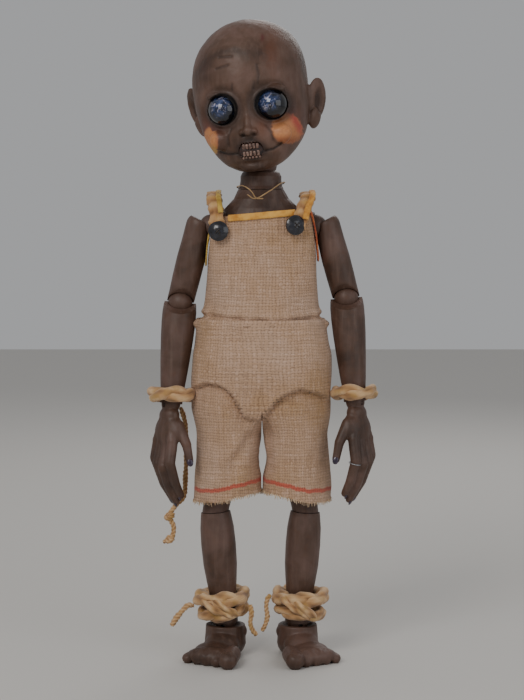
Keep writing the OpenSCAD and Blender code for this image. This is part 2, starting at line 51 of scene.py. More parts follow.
bpy.ops.object.select_all(action="DESELECT")
bpy.ops.object.camera_add(location=(-0.003, -1.70, 0.417))
camera = bpy.context.object
camera.rotation_euler = (Vector((-0.003, 0, 0.292)) - camera.location).to_track_quat("-Z", "Y").to_euler()
camera.data.lens = 93
camera.data.sensor_width = 36
bpy.context.scene.camera = camera

# ---- neck thread and cloth tails ----
# Strips torn from a dyed cotton sheet and rolled between the palms into thin
# cords. Each is a lumpy tube with three strands that turn round its middle.


def paint(code):
    """The linear light of an sRGB hex colour."""
    light = [int(code[k:k + 2], 16) / 255 for k in (1, 3, 5)]
    return tuple(c / 12.92 if c <= 0.04045 else ((c + 0.055) / 1.055) ** 2.4 for c in light) + (1,)


def add(tree, kind, inputs=None, stops=None, **settings):
    """One node with its settings, its values and links, and its colour stops."""
    made = tree.nodes.new("ShaderNode" + kind)
    for name, value in settings.items():
        setattr(made, name, value)
    if stops:
        ramp = made.color_ramp
        while len(ramp.elements) < len(stops):
            ramp.elements.new(0.5)
        for stop, (place, colour) in zip(ramp.elements, stops):
            stop.position = place
            stop.color = paint(colour) if isinstance(colour, str) else (colour, colour, colour, 1)
    for name, value in (inputs or {}).items():
        if isinstance(value, bpy.types.NodeSocket):
            tree.links.new(value, made.inputs[name])
        else:
            made.inputs[name].default_value = value
    return made


def finish_named(name, **sockets):
    """A new material with the constant sockets of its shader set."""
    made = bpy.data.materials.new(name)
    made.use_nodes = True
    shader = made.node_tree.nodes["Principled BSDF"]
    for socket, value in sockets.items():
        shader.inputs[socket.replace("_", " ")].default_value = value
    return made, made.node_tree, shader


def rolled_cotton(name, deep, middle, pale, grime):
    """Rolled cotton rag: matt and soft, with threads 0.7 mm apart that run with the
    twist, painted shade in the creases and a painted highlight on the crowns. UV is in millimetres."""
    made, tree, shader = finish_named(name, Roughness=0.92, Sheen_Weight=0.25, Sheen_Roughness=0.6)
    place = add(tree, "TexCoord")
    threads = add(tree, "Mapping", {"Vector": place.outputs["UV"], "Scale": (1.4, 0.12, 1)})
    fibre = add(tree, "TexNoise", {"Vector": threads.outputs[0], "Scale": 1.0, "Detail": 5,
                                   "Roughness": 0.65})
    blotch = add(tree, "TexNoise", {"Vector": place.outputs["Object"], "Scale": 110, "Detail": 3})
    # the crowns' height paints shade in the grooves between strands and a highlight on the crowns
    crown = add(tree, "VertexColor", layer_name="crown")
    height = add(tree, "SeparateColor", {"Color": crown.outputs["Color"]})
    mixed = add(tree, "Math", {0: height.outputs["Red"], 1: 0.62}, operation="MULTIPLY")
    mixed = add(tree, "Math", {0: fibre.outputs["Fac"], 1: 0.5, 2: mixed.outputs[0]},
                operation="MULTIPLY_ADD")
    colour = add(tree, "ValToRGB", {"Fac": mixed.outputs[0]},
                 stops=[(0.18, deep), (0.5, middle), (0.86, pale)])
    spots = add(tree, "ValToRGB", {"Fac": blotch.outputs["Fac"]}, stops=[(0.5, 0.0), (0.72, 0.75)])
    dirty = add(tree, "Mix", {"Factor": spots.outputs["Color"], "A": colour.outputs["Color"],
                              "B": paint(grime)}, data_type="RGBA")
    bump = add(tree, "Bump", {"Height": fibre.outputs["Fac"], "Strength": 0.5, "Distance": 0.0006})
    tree.links.new(dirty.outputs["Result"], shader.inputs["Base Color"])
    tree.links.new(bump.outputs["Normal"], shader.inputs["Normal"])
    return made


cotton = rolled_cotton("rolled_cotton_rag", "#6e4a28", "#b98c5c", "#dcb88a", "#a8823c")


def through(stops, gap, closed=False):
    """Points about gap apart on a smooth line through the stops, in millimetres."""
    stops = [Vector(p) for p in stops]
    count = len(stops)
    line = []
    for k in range(count if closed else count - 1):
        if closed:
            a, b, c, d = (stops[(k + j) % count] for j in (-1, 0, 1, 2))
        else:
            b, c = stops[k], stops[k + 1]
            a = stops[k - 1] if k else b * 2 - c
            d = stops[k + 2] if k + 2 < count else c * 2 - b
        parts = max(1, ceil((c - b).length / gap))
        for j in range(parts):
            t = j / parts
            line.append(0.5 * ((2 * b) + (c - a) * t + (2 * a - 5 * b + 4 * c - d) * t * t
                               + (3 * b - a - 3 * c + d) * t ** 3))
    if not closed:
        line.append(stops[-1])
    return line


def roll(line, radius, closed=False, strands=3, pitch=16.0, depth=0.2, lumps=0.1, seed=0.0, ends=0.25,
         around=14):
    """Points, faces, UVs and crown heights of a twisted cord along a line."""
    count = len(line)
    tangent = []
    for k in range(count):
        a = line[(k - 1) % count] if closed or k else line[k]
        b = line[(k + 1) % count] if closed or k < count - 1 else line[k]
        tangent.append((b - a).normalized())
    side = tangent[0].orthogonal().normalized()
    sides = [side]
    for k in range(1, count):
        side = (tangent[k - 1].rotation_difference(tangent[k])) @ sides[-1]
        sides.append((side - tangent[k] * side.dot(tangent[k])).normalized())
    drift = 0.0
    if closed:
        back = (tangent[-1].rotation_difference(tangent[0])) @ sides[-1]
        drift = atan2(back.cross(sides[0]).dot(tangent[0]), back.dot(sides[0]))
    total = sum((line[(k + 1) % count] - line[k]).length for k in range(count if closed else count - 1))
    turns = max(1, round(total / pitch)) if closed else total / pitch
    points, crowns, run = [], [], 0.0
    runs = []
    for k in range(count):
        if k:
            run += (line[k] - line[k - 1]).length
        runs.append(run)
        u = Matrix.Rotation(drift * run / total, 3, tangent[k]) @ sides[k]
        v = tangent[k].cross(u)
        swell = 1 + lumps * noise.noise(line[k] * 0.11 + Vector((seed, 0, 0)))
        if not closed:
            near = min(run, total - run) / (2 * radius)
            swell *= ends + (1 - ends) * min(1, near) ** 0.5 if near < 1 else 1
        for j in range(around):
            angle = 2 * pi * j / around
            wave = cos(strands * (angle - 2 * pi * turns * run / total))
            ruffle = noise.noise(Vector((cos(angle) * 1.4, sin(angle) * 1.4, run * 0.16 + seed)))
            # the strand's height here, later used for painted shade in the grooves and a painted highlight
            # on the crowns
            crown = 0.5 + 0.32 * wave + 0.5 * ruffle
            r = radius * swell * (1 + depth * wave + depth * 0.9 * ruffle)
            points.append(line[k] + r * (cos(angle) * u + sin(angle) * v))
            crowns.append(max(0.0, min(1.0, crown)))
    faces, uvs = [], []
    for k in range(count if closed else count - 1):
        n = (k + 1) % count
        low, high = runs[k], runs[k + 1] if k + 1 < count else total
        for j in range(around):
            m = (j + 1) % around
            faces.append((k * around + j, k * around + m, n * around + m, n * around + j))
            wide = 2 * pi * radius / around
            uvs.append(((j * wide, low), ((j + 1) * wide, low), ((j + 1) * wide, high), (j * wide, high)))
    if not closed:
        faces += [tuple(reversed(range(around))), tuple((count - 1) * around + j for j in range(around))]
        uvs += [tuple((0.0, 0.0) for _ in range(around)), tuple((0.0, total) for _ in range(around))]
    return points, faces, uvs, crowns


def cord_piece(name, rolls, coat):
    """One mesh object, in metres, out of one or more rolled cords."""
    points, faces, uvs, crowns = [], [], [], []
    for p, f, t, c in rolls:
        first = len(points)
        points += [tuple(v / 1000 for v in q) for q in p]
        faces += [tuple(first + k for k in face) for face in f]
        uvs += [pair for face in t for pair in face]
        crowns += c
    mesh = bpy.data.meshes.new(name)
    mesh.from_pydata(points, [], faces)
    layer = mesh.uv_layers.new(name="UVMap")
    for k, pair in enumerate(uvs):
        layer.data[k].uv = pair
    shade = mesh.color_attributes.new("crown", "FLOAT_COLOR", "POINT")
    for k, value in enumerate(crowns):
        shade.data[k].color = (value, value, value, 1)
    mesh.shade_smooth()
    made = bpy.data.objects.new(name, mesh)
    bpy.context.collection.objects.link(made)
    mesh.materials.append(coat)
    return made


def metres(points):
    return [tuple(v / 1000 for v in p) for p in points]


def length_of(points):
    return sum((Vector(b) - Vector(a)).length for a, b in zip(points, points[1:])) / 1000


thread_route = [(-17, -21.5, 438), (-9, -23.5, 434), (4, -21, 441), (14, -13.5, 448), (18.3, 3, 449.5),
        (13, 18, 447), (-4, 25.6, 444.5), (-20, 19, 444), (-26.6, 4, 445), (-21, -12.5, 446),
        (-13.5, -20, 441.5), (-8.4, -23.6, 434.6), (-1.5, -24.5, 434)]
thread_line = through(thread_route, 1.2)
neck_thread = cord_piece("neck_thread", [roll(thread_line, 0.55, strands=2, pitch=3, depth=0.12, around=8,
        seed=3)], rolled_cotton("waxed_thread", "#6a4c2c", "#b08a5a", "#d8b684", "#8a6a3c"))
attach(neck_thread, "neck")
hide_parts("neck_cord")
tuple(metres(thread_line)[0])
length_of(thread_line)

# each strip's route, its radius in millimetres, the body it hangs from, and its plain form
tails = {
    "wrist_tail_right": (
        [(-80, 6, 237), (-76, 11, 220), (-75, 13, 195), (-76, 10, 170), (-77, 4, 153), (-85, 0, 144),
         (-91, 0, 134), (-87, 0, 124), (-89, 0, 113), (-97, 0, 109)], 2.2, "forearm_r", "wrist_tail_r"),
    "ankle_tail_right_outer": (
        [(-68, -10, 50), (-73, -14, 51), (-78, -18, 47), (-84, -20, 40), (-88, -20, 33)],
        2.4, "shin_r", "ankle_tails_r"),
    "ankle_tail_right_inner": (
        [(-14, -15, 52), (-13, -17, 44), (-14, -17, 35), (-12, -16, 28), (-8, -16, 23)],
        2.2, "shin_r", "ankle_tails_r"),
    "ankle_tail_left": (
        [(5, -13, 61), (2, -15, 57), (1, -16, 49), (2, -16, 41), (0, -16, 33), (-3, -16, 27)],
        2.0, "shin_l", "ankle_tail_l"),
}
for name, (stops, thick, body, stand_in) in tails.items():
    line = through(stops, 1.3)
    piece = cord_piece(name, [roll(line, thick, pitch=11, depth=0.2, lumps=0.24, seed=len(name), ends=0.7)],
                       cotton)
    on_it = []
    if name == "wrist_tail_right":
        # the knots are more turns of the same strip round itself
        for label, middle, wide in (("wrist_tail_knot", (-91, 0, 134), 3.0),
                                    ("wrist_tail_end_knot", (-90.5, 0, 112), 2.4)):
            ring = [(middle[0] + wide * cos(k * pi / 4), wide * sin(k * pi / 4),
                     middle[2] + 1.8 * sin(k * pi / 4 + 0.6)) for k in range(8)]
            on_it.append(cord_piece(label, [roll(through(ring, 1.2, closed=True), 2.1, closed=True,
                                                 pitch=10, lumps=0.3, seed=wide)], cotton))
    for part in [piece] + on_it:
        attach(part, body)
        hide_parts(stand_in)
    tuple(metres(line)[0])
    length_of(line)

# ---- cast resin limbs and body ----
# Hollow resin castings, sanded, then painted in thin coats of dark brown with a
# dry brush of dusty mauve and rust. Satin, with fine tooth marks left by the sanding.


def painted_resin(name, use_paint_and_shade=False):
    """Painted polyurethane resin, IOR 1.5: cloudy brown in patches 30 and 6 mm wide,
    and a satin skin with a grain of 0.5 mm."""
    made, tree, shader = finish_named(name, IOR=1.5, Specular_IOR_Level=0.42, Coat_Weight=0.06,
                                      Coat_Roughness=0.35)
    place = add(tree, "TexCoord").outputs["Object"]
    cloud = add(tree, "TexNoise", {"Vector": place, "Scale": 26, "Detail": 4, "Roughness": 0.55,
                                   "Distortion": 0.4})
    patch = add(tree, "TexNoise", {"Vector": place, "Scale": 150, "Detail": 5, "Roughness": 0.6})
    streak = add(tree, "Mapping", {"Vector": place, "Scale": (260, 260, 22)})
    brush = add(tree, "TexNoise", {"Vector": streak.outputs[0], "Scale": 1.0, "Detail": 3})
    base = add(tree, "ValToRGB", {"Fac": cloud.outputs["Fac"]},
            stops=[(0.28, "#3f2c22"), (0.46, "#573f32"), (0.6, "#694f44"), (0.78, "#775a4d")]
            if use_paint_and_shade else [(0.28, "#382820"), (0.46, "#4f392e"), (0.6, "#5f483f"), (0.78, "#6d5147")])
    rust = add(tree, "ValToRGB", {"Fac": patch.outputs["Fac"]}, stops=[(0.52, 0.0), (0.74, 0.45)])
    warm = add(tree, "Mix", {"Factor": rust.outputs["Color"], "A": base.outputs["Color"],
                             "B": paint("#5d3d2a")}, data_type="RGBA")
    dry = add(tree, "ValToRGB", {"Fac": brush.outputs["Fac"]}, stops=[(0.5, 0.0), (0.8, 0.3)])
    dusty = add(tree, "Mix", {"Factor": dry.outputs["Color"], "A": warm.outputs["Result"],
                              "B": paint("#7f675c")}, data_type="RGBA")
    colour = dusty.outputs["Result"]
    # the head's vertex colours: its brush paint and stains, and painted shade in its hollows
    if use_paint_and_shade:
        paint_and_shade_layer = add(tree, "VertexColor", layer_name="paint")
        broken = add(tree, "TexNoise", {"Vector": place, "Scale": 420, "Detail": 4})
        worn = add(tree, "Math", {0: broken.outputs["Fac"], 1: 0.5, 2: 0.76}, operation="MULTIPLY_ADD")
        cover = add(tree, "Math", {0: paint_and_shade_layer.outputs["Alpha"], 1: worn.outputs[0]}, operation="MULTIPLY",
                    use_clamp=True)
        colour = add(tree, "Mix", {"Factor": cover.outputs[0], "A": colour, "B": paint_and_shade_layer.outputs["Color"]},
                     data_type="RGBA").outputs["Result"]
    grain = add(tree, "TexNoise", {"Vector": place, "Scale": 1100, "Detail": 2})
    rough = add(tree, "MapRange", {"Value": patch.outputs["Fac"], "To Min": 0.38, "To Max": 0.62})
    lumps = add(tree, "Bump", {"Height": patch.outputs["Fac"], "Strength": 0.35, "Distance": 0.0012})
    tooth = add(tree, "Bump", {"Height": grain.outputs["Fac"], "Strength": 0.25, "Distance": 0.0002,
                               "Normal": lumps.outputs["Normal"]})
    tree.links.new(colour, shader.inputs["Base Color"])
    tree.links.new(rough.outputs["Result"], shader.inputs["Roughness"])
    tree.links.new(tooth.outputs["Normal"], shader.inputs["Normal"])
    return made


resin = painted_resin("painted_cast_resin")


def recoat(name, coat):
    """Gives a CAD node that keeps its shape its real finish."""
    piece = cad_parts[name]
    if not piece.material_slots:
        piece.data.materials.append(coat)
    for slot in piece.material_slots:
        slot.material = coat


for name in ("torso", "neck", "shoulder_ball_r", "shoulder_ball_l", "elbow_ball_r", "elbow_ball_l",
        "hip_ball_r", "hip_ball_l", "knee_ball_r", "knee_ball_l", "forearm_r", "forearm_l", "thigh_r",
        "thigh_l", "shin_r", "shin_l"):
    recoat(name, resin)

# ---- head ----
# Two castings, face and back cap, that meet behind the ears. The face is modelled
# with deep eye sockets, lids, a small nose, lips drawn back from the teeth, and ears.

head_place = (Matrix.Translation((-4, 4, 466)) @ Matrix.Rotation(radians(-8.5), 4, "Z")
              @ Matrix.Rotation(radians(-6), 4, "Y"))
# heights of the ring's middle, its place and its two radii, from chin to crown
skull_rings = [(-7, 0, -30, 3, 3), (-6.2, 0, -30, 12, 10), (-3.6, 0, -29, 19, 17), (2, 0, -25, 28.5, 26),
        (12, 0, -18, 38, 36), (26, 0, -11, 46.5, 46), (42, -1, -5, 51, 53), (62, -2, -2, 53.5, 58),
        (84, -2, -1, 53.5, 60), (104, -1, -1, 49, 56), (120, 0, 0, 38.5, 45), (130, 0, 0, 24, 29),
        (134.6, 0, 0, 8, 10), (135.2, 0, 0, 1, 1)]

eye_out, eye_up = 22.5, 51  # from the head's middle line, and above its pivot
ear_turn = radians(38)      # how far each ear stands out from the skull
ear_lift = {-1: 0, 1: -4}   # the left ear was cast a little lower


def smooth_step(low, high, value):
    t = max(0.0, min(1.0, (value - low) / (high - low)))
    return t * t * (3 - 2 * t)


def between_rings(rings, k, t):
    """One ring's numbers on a smooth curve through a list of rings."""
    last = len(rings) - 1
    a, b, c, d = (rings[max(0, min(last, k + j))] for j in (-1, 0, 1, 2))
    return [0.5 * ((2 * q) + (r - p) * t + (2 * p - 5 * q + 4 * r - s) * t * t
                   + (3 * q - p - 3 * r + s) * t ** 3) for p, q, r, s in zip(a, b, c, d)]


def join(pieces, name):
    """Joins freshly made primitives into the first of them."""
    bpy.ops.object.select_all(action="DESELECT")
    for piece in pieces:
        piece.select_set(True)
    bpy.context.view_layer.objects.active = pieces[0]
    bpy.ops.object.join()
    pieces[0].name = pieces[0].data.name = name
    return pieces[0]


def modify(piece, kind, **settings):
    """Adds a modifier to a piece and applies it."""
    bpy.ops.object.select_all(action="DESELECT")
    piece.select_set(True)
    bpy.context.view_layer.objects.active = piece
    made = piece.modifiers.new(kind, kind)
    for name, value in settings.items():
        setattr(made, name, value)
    bpy.ops.object.modifier_apply(modifier=made.name)
    return piece


def settle(piece, place=None):
    """Turns a piece modelled in millimetres into its place in metres."""
    piece.data.transform(Matrix.Scale(0.001, 4) @ (place or Matrix()))
    if (place or Matrix()).determinant() < 0:
        piece.data.flip_normals()
    piece.data.update()
    return piece


def blob(centre, radii, turn=(0, 0, 0), detail=24):
    """A sphere stretched along its own axes, in millimetres."""
    bpy.ops.mesh.primitive_uv_sphere_add(segments=detail, ring_count=detail // 2, radius=1)
    made = bpy.context.object
    made.data.transform(Matrix.Translation(centre) @ Matrix.Rotation(radians(turn[2]), 4, "Z")
            @ Matrix.Rotation(radians(turn[1]), 4, "Y") @ Matrix.Rotation(radians(turn[0]), 4, "X")
            @ Matrix.Diagonal((*radii, 1)))
    return made


def bone(a, ra, b, rb, detail=20):
    """A round-ended bar from a to b, in millimetres, as three primitives."""
    a, b = Vector(a), Vector(b)
    bpy.ops.mesh.primitive_cone_add(vertices=detail, radius1=ra, radius2=rb, depth=(b - a).length)
    shaft = bpy.context.object
    shaft.data.transform(Matrix.Translation((a + b) / 2)
                         @ (b - a).to_track_quat("Z", "Y").to_matrix().to_4x4())
    return [shaft, blob(a, (ra, ra, ra), detail=detail), blob(b, (rb, rb, rb), detail=detail)]


bpy.ops.object.select_all(action="DESELECT")
bpy.ops.mesh.primitive_uv_sphere_add(segments=96, ring_count=65, radius=1)
skull = bpy.context.object
for v in skull.data.vertices:
    turn = (asin(max(-1, min(1, v.co.z))) / pi + 0.5) * (len(skull_rings) - 1)
    k = min(int(turn), len(skull_rings) - 2)
    z, xc, yc, rx, ry = between_rings(skull_rings, k, turn - k)
    flat = sqrt(v.co.x ** 2 + v.co.y ** 2)
    if flat < 1e-6:
        v.co = (xc, yc, z)
        continue
    c, s = v.co.x / flat, v.co.y / flat
    v.co = (xc + rx * c, yc + ry * s, z)
soft = [skull]
soft += [blob((0, -60.5, 28.5), (4.6, 5, 4.3)), blob((5.2, -57.5, 27.6), (3.6, 4.2, 3.4)),
         blob((-5.2, -57.5, 27.6), (3.6, 4.2, 3.4))]
soft += bone((0, -59.5, 31), 3.2, (0, -54.5, 47), 2.4)
soft += [blob((0, -51, 19.5), (14, 5.5, 4.2)), blob((0, -47.5, 4.0), (11, 5.5, 4.0)),
         blob((0, -41.5, -2.5), (12, 8, 5))]
for s in (-1, 1):
    soft += [blob((s * 27, -46, 24), (11, 8, 10)),
             blob((s * eye_out, -50.5, 66), (15, 5.5, 4.5), turn=(0, s * 9, 0))]
    bpy.ops.mesh.primitive_torus_add(major_radius=14.4, minor_radius=2.1, major_segments=48,
                                     minor_segments=12)
    rim = bpy.context.object
    rim.data.transform(Matrix.Translation((s * eye_out, -49.2, eye_up))
            @ Matrix.Rotation(radians(s * 14), 4, "Z") @ Matrix.Rotation(radians(84), 4, "X")
            @ Matrix.Diagonal((1, 0.95, 1, 1)))
    soft.append(rim)
    soft += [blob((s * 57.5, 8.5, 60 + ear_lift[s]), (3.4, 12.5, 20), turn=(0, s * 12, s * -38)),
             blob((s * 54.5, 6.5, 42 + ear_lift[s]), (3.2, 7.5, 10.5), turn=(0, s * 20, s * -34))]
head = join(soft, "head_face_casting")
modify(head, "REMESH", mode="VOXEL", voxel_size=0.95, use_smooth_shade=True)
modify(head, "SMOOTH", factor=0.55, iterations=7)


def near_line(p, stops):
    """Distance from a point to a bent line, and how far along it the point lies."""
    best, where, run = 1e9, 0.0, 0.0
    for a, b in zip(stops, stops[1:]):
        ax, az, bx, bz = *a, *b
        long = sqrt((bx - ax) ** 2 + (bz - az) ** 2)
        t = max(0, min(1, ((p[0] - ax) * (bx - ax) + (p[1] - az) * (bz - az)) / long ** 2))
        d = sqrt((p[0] - ax - t * (bx - ax)) ** 2 + (p[1] - az - t * (bz - az)) ** 2)
        if d < best:
            best, where = d, run + t * long
        run += long
    return best, where / run


smile = [(-30, 14), (-22, 10.5), (-12, 9.8)], [(12, 9.8), (20, 11), (28, 15.5)]
crease_lines = [((13, 70), (15, 78), (14, 87)), ((9, 66), (10.5, 72)), ((-11, 67), (-10, 72)),
        ((-16, 33), (-20, 25), (-20, 18)), ((16, 33), (20, 26), (21, 19)), ((-24, 88), (-12, 89.5)),
        ((-20, 98), (-8, 97))]
for v in head.data.vertices:
    x, y, z = v.co
    if y < 0:
        push = 0.0
        for s in (-1, 1):
            d = sqrt((x - s * eye_out) ** 2 + ((z - eye_up) * 1.04) ** 2)
            push += 4.6 * (1 - smooth_step(13.8, 25, d)) - 2.6 * exp(-((d - 15.4) / 1.9) ** 2)
            nostril = sqrt((x - s * 5.0) ** 2 + ((z - 25.2) * 1.5) ** 2)
            push += 3.4 * exp(-(nostril / 2.1) ** 2) if y < -52 else 0
        # the thin skin under the nose and round the drawn lips
        for line in smile:
            push += 1.5 * exp(-(near_line((x, z), line)[0] / 1.1) ** 2)
        for line in crease_lines:
            push += 0.75 * exp(-(near_line((x, z), line)[0] / 1.2) ** 2)
        push += (0.9 * exp(-((abs(x) - 1.8) / 1.1) ** 2) * smooth_step(18.5, 20.5, z)
                 * (1 - smooth_step(23.5, 25, z)) * 0.5)
        push += 1.4 * exp(-((x / 16) ** 2)) * exp(-((z - 0.5) / 1.6) ** 2)
        v.co.y += push
    for s in (-1, 1):
        if s * x > 50 and y > -8:
            across = (y - 8.5) * cos(ear_turn) + (s * x - 57.5) * sin(ear_turn)
            up = z - 58 - ear_lift[s]
            d = sqrt(((across - 0.5) / 6.2) ** 2 + (up / 13) ** 2)
            facing = -(y - 8.5) * sin(ear_turn) + (s * x - 57.5) * cos(ear_turn)
            if facing > -2.5 or s * x > 52:
                deep = 2.6 * (1 - smooth_step(0.55, 1.05, d))
                v.co.x += -s * deep * cos(ear_turn)
                v.co.y += deep * sin(ear_turn)
    grain = noise.noise(v.co * 0.05) * 0.5 + noise.noise(v.co * 0.17) * 0.28
    v.co += v.co.normalized() * grain

# the sockets for the glass eyes, the mouth that holds the teeth, and the neck's cup
cutters = [blob((s * eye_out, -45, eye_up), (14.2, 14.2, 14.2), detail=64) for s in (-1, 1)]
mouth = blob((0, -52.5, 11.6), (11.6, 7, 7.6), detail=40)
for v in mouth.data.vertices:
    v.co.z = 11.6 + max(-6.6, min(7.2, (v.co.z - 11.6) * 1.35))
cup = blob((0, 0, 0), (15.3, 15.3, 15.3), detail=64)
bpy.ops.mesh.primitive_cylinder_add(vertices=64, radius=23.5, depth=32.5)
throat = bpy.context.object
throat.data.transform(Matrix.Translation((0, 0, -13.8)))
for cutter in cutters + [mouth, cup, throat]:
    modify(head, "BOOLEAN", operation="DIFFERENCE", object=cutter, solver="EXACT")
    bpy.data.objects.remove(cutter)

# paint: rouged cheeks and stains, and painted shade in the eye sockets, the smile lines and
# creases, the nostrils, under the nose, round the mouth and in the ears' hollows
cheeks = [(-1, -38.5, 25, 9.5, 12.5), (1, 33, 28.5, 12.5, 14)]


def face_paint_and_shade(p):
    """Colour and cover at a point of the head: the paint laid on with a brush, and the painted shade in the
    sockets, creases, nostrils, mouth and ears.
    """
    x, y, z = p
    grit = noise.noise(p * 0.45) * 0.5 + noise.noise(p * 1.4) * 0.3
    colour, cover = Vector((0.0, 0.0, 0.0)), 0.0

    def lay(code, strength):
        nonlocal colour, cover
        strength = max(0.0, min(1.0, strength))
        tone = Vector(paint(code)[:3])
        total = strength + cover * (1 - strength)
        if total > 0:
            colour = (tone * strength + colour * cover * (1 - strength)) / total
        cover = total

    if y < 12:
        for s, cx, cz, rx, rz in cheeks:
            d = sqrt(((x - cx) / rx) ** 2 + ((z - cz) / rz) ** 2)
            lay("#7a3d36", 0.5 * exp(-((x - cx + s * 1) / 12) ** 2 - ((z - cz - 9) / 13) ** 2))
            inside = 1 - smooth_step(0.86, 1.06, d + 0.22 * grit
                                     + (0.25 if s * (x - cx) < -rx * 0.2 and z > cz + 8 else 0))
            if inside > 0:
                lay("#b9764c", inside * 0.95)
                lay("#cf8f5c", inside * (0.5 + grit))
                if s > 0:
                    lay("#b04a3e", inside * smooth_step(4, 11, x - cx + 0.4 * (z - cz) + 3 * grit) * 0.95)
                    lay("#8b4a2c", inside * (1 - smooth_step(-12, -5, z - cz)) * 0.8)
                else:
                    lay("#b08a3c", inside * (1 - smooth_step(-9, -1, z - cz + (x - cx) * 0.3)) * 0.85)
                    lay("#8f5038", inside * smooth_step(5, 9, x - cx) * 0.6)
    if y < -20:
        # painted shade in the sunken eye sockets, darkest at the lid rims next to the glass
        for s in (-1, 1):
            d = sqrt((x - s * eye_out) ** 2 + ((z - eye_up) * 1.04) ** 2)
            lay("#33241d", 0.72 * (1 - smooth_step(15, 25 + 3 * grit, d)))
            lay("#0d0908", (1 - smooth_step(14.1, 16.2, d)) * 0.97)
        # painted shade in the grooved smile lines and creases
        for line in smile:
            lay("#1d120e", 0.9 * exp(-(near_line((x, z), line)[0] / 1.0) ** 2))
        for line in crease_lines:
            lay("#2b1d17", 0.55 * exp(-(near_line((x, z), line)[0] / 1.3) ** 2))
        # painted shade round the mouth opening
        mouth_d = sqrt((x / 14) ** 2 + ((z - 12) / 9.5) ** 2)
        lay("#2a1a14", 0.75 * (1 - smooth_step(0.85, 1.25 + 0.2 * grit, mouth_d)))
        # painted shade in the nostrils and under the nose
        for s in (-1, 1):
            lay("#150c09", 0.9 * exp(-(sqrt((x - s * 5) ** 2 + ((z - 25.4) * 1.4) ** 2) / 2.4) ** 2))
        lay("#2c1e18", 0.6 * exp(-((z - 21.5) / 3) ** 2) * exp(-(x / 9) ** 2))
        lay("#6d3f28", 0.5 * exp(-((x - 12) / 5) ** 2 - ((z - 30) / 8) ** 2))
        lay("#6a3a22", 0.5 * exp(-((x - 27 + 4 * grit) / 6) ** 2 - ((z - 96) / 22) ** 2))
        lay("#571f1c", 0.85 * exp(-((x - 20 + 2 * grit) / 1.6) ** 2 - ((z - 112) / 3.4) ** 2))
        lay("#3a2822", 0.55 * exp(-((x + 37) / 8) ** 2 - ((z - 92) / 20) ** 2))
    # painted shade in the hollows of the ears
    for s in (-1, 1):
        across = (y - 8.5) * cos(ear_turn) + (s * x - 57.5) * sin(ear_turn)
        d = sqrt(((across - 0.5) / 6.5) ** 2 + ((z - 58 - ear_lift[s]) / 14) ** 2)
        if s * x > 52.5 and y > -6:
            lay("#2a1a12", 0.7 * (1 - smooth_step(0.3, 1.05, d)))
    return (*colour, cover)


paint_and_shade_layer = head.data.color_attributes.new("paint", "FLOAT_COLOR", "POINT")
for v in head.data.vertices:
    paint_and_shade_layer.data[v.index].color = face_paint_and_shade(v.co)

# the cap comes off at one plane behind the ears
cap = head.copy()
cap.data = head.data.copy()
cap.name = cap.data.name = "head_cap_casting"
bpy.context.collection.objects.link(cap)
for piece, plane, keep in ((head, 14.0, False), (cap, 14.25, True)):
    bpy.ops.object.select_all(action="DESELECT")
    piece.select_set(True)
    bpy.context.view_layer.objects.active = piece
    bpy.ops.object.mode_set(mode="EDIT")
    bpy.ops.mesh.select_all(action="SELECT")
    bpy.ops.mesh.bisect(plane_co=(0, plane, 0), plane_no=(0, 1, 0), use_fill=True, clear_inner=keep,
                        clear_outer=not keep)
    bpy.ops.object.mode_set(mode="OBJECT")
    settle(piece, head_place)
    piece.data.materials.clear()
    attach(piece, "head")
face_resin = painted_resin("painted_cast_resin_face", use_paint_and_shade=True)
for piece, stand_in in ((head, "head_face"), (cap, "head_cap")):
    piece.data.materials.append(face_resin)
    bpy.ops.object.select_all(action="DESELECT")
    piece.select_set(True)
    bpy.context.view_layer.objects.active = piece
    bpy.ops.object.shade_smooth_by_angle(angle=radians(50))
    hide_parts(stand_in)

# ---- glass eyes ----
# Blown glass balls, silvered inside and marbled in navy and lilac, set in black
# wax. Polished, so they carry sharp highlights. Pale flecks 1 to 3 mm wide show only inside a painted
# highlight on the upper front of each ball; the rest is darkened as painted shade.

made, tree, shader = finish_named("marbled_eye_glass", Roughness=0.07, IOR=1.5, Coat_Weight=0.5,
                                  Coat_Roughness=0.05, Specular_IOR_Level=0.5)
place = add(tree, "TexCoord").outputs["Object"]
marble = add(tree, "TexNoise", {"Vector": place, "Scale": 120, "Detail": 5, "Roughness": 0.68,
                                "Distortion": 1.6})
flecks = add(tree, "TexNoise", {"Vector": place, "Scale": 300, "Detail": 3, "Distortion": 0.8})
ends = []
# a painted highlight on the upper front of each eye, fading to painted shade over the rest of the ball
for s in (-1, 1):
    spot = head_place @ Vector((s * eye_out - 2, -58.5, 54))
    away = add(tree, "VectorMath", {0: place, 1: tuple(c / 1000 for c in spot)}, operation="DISTANCE")
    ends.append(add(tree, "MapRange", {"Value": away.outputs["Value"], "From Min": 0.001,
                                       "From Max": 0.0145, "To Min": 1.0, "To Max": 0.0}))
highlight_and_shade = add(tree, "Math", {0: ends[0].outputs["Result"], 1: ends[1].outputs["Result"]}, operation="MAXIMUM")
swirl = add(tree, "ValToRGB", {"Fac": marble.outputs["Fac"]},
            stops=[(0.32, "#070b16"), (0.46, "#15213d"), (0.58, "#2f416c"), (0.72, "#66729c")])
pale = add(tree, "ValToRGB", {"Fac": flecks.outputs["Fac"]}, stops=[(0.55, 0.0), (0.68, 0.85)])
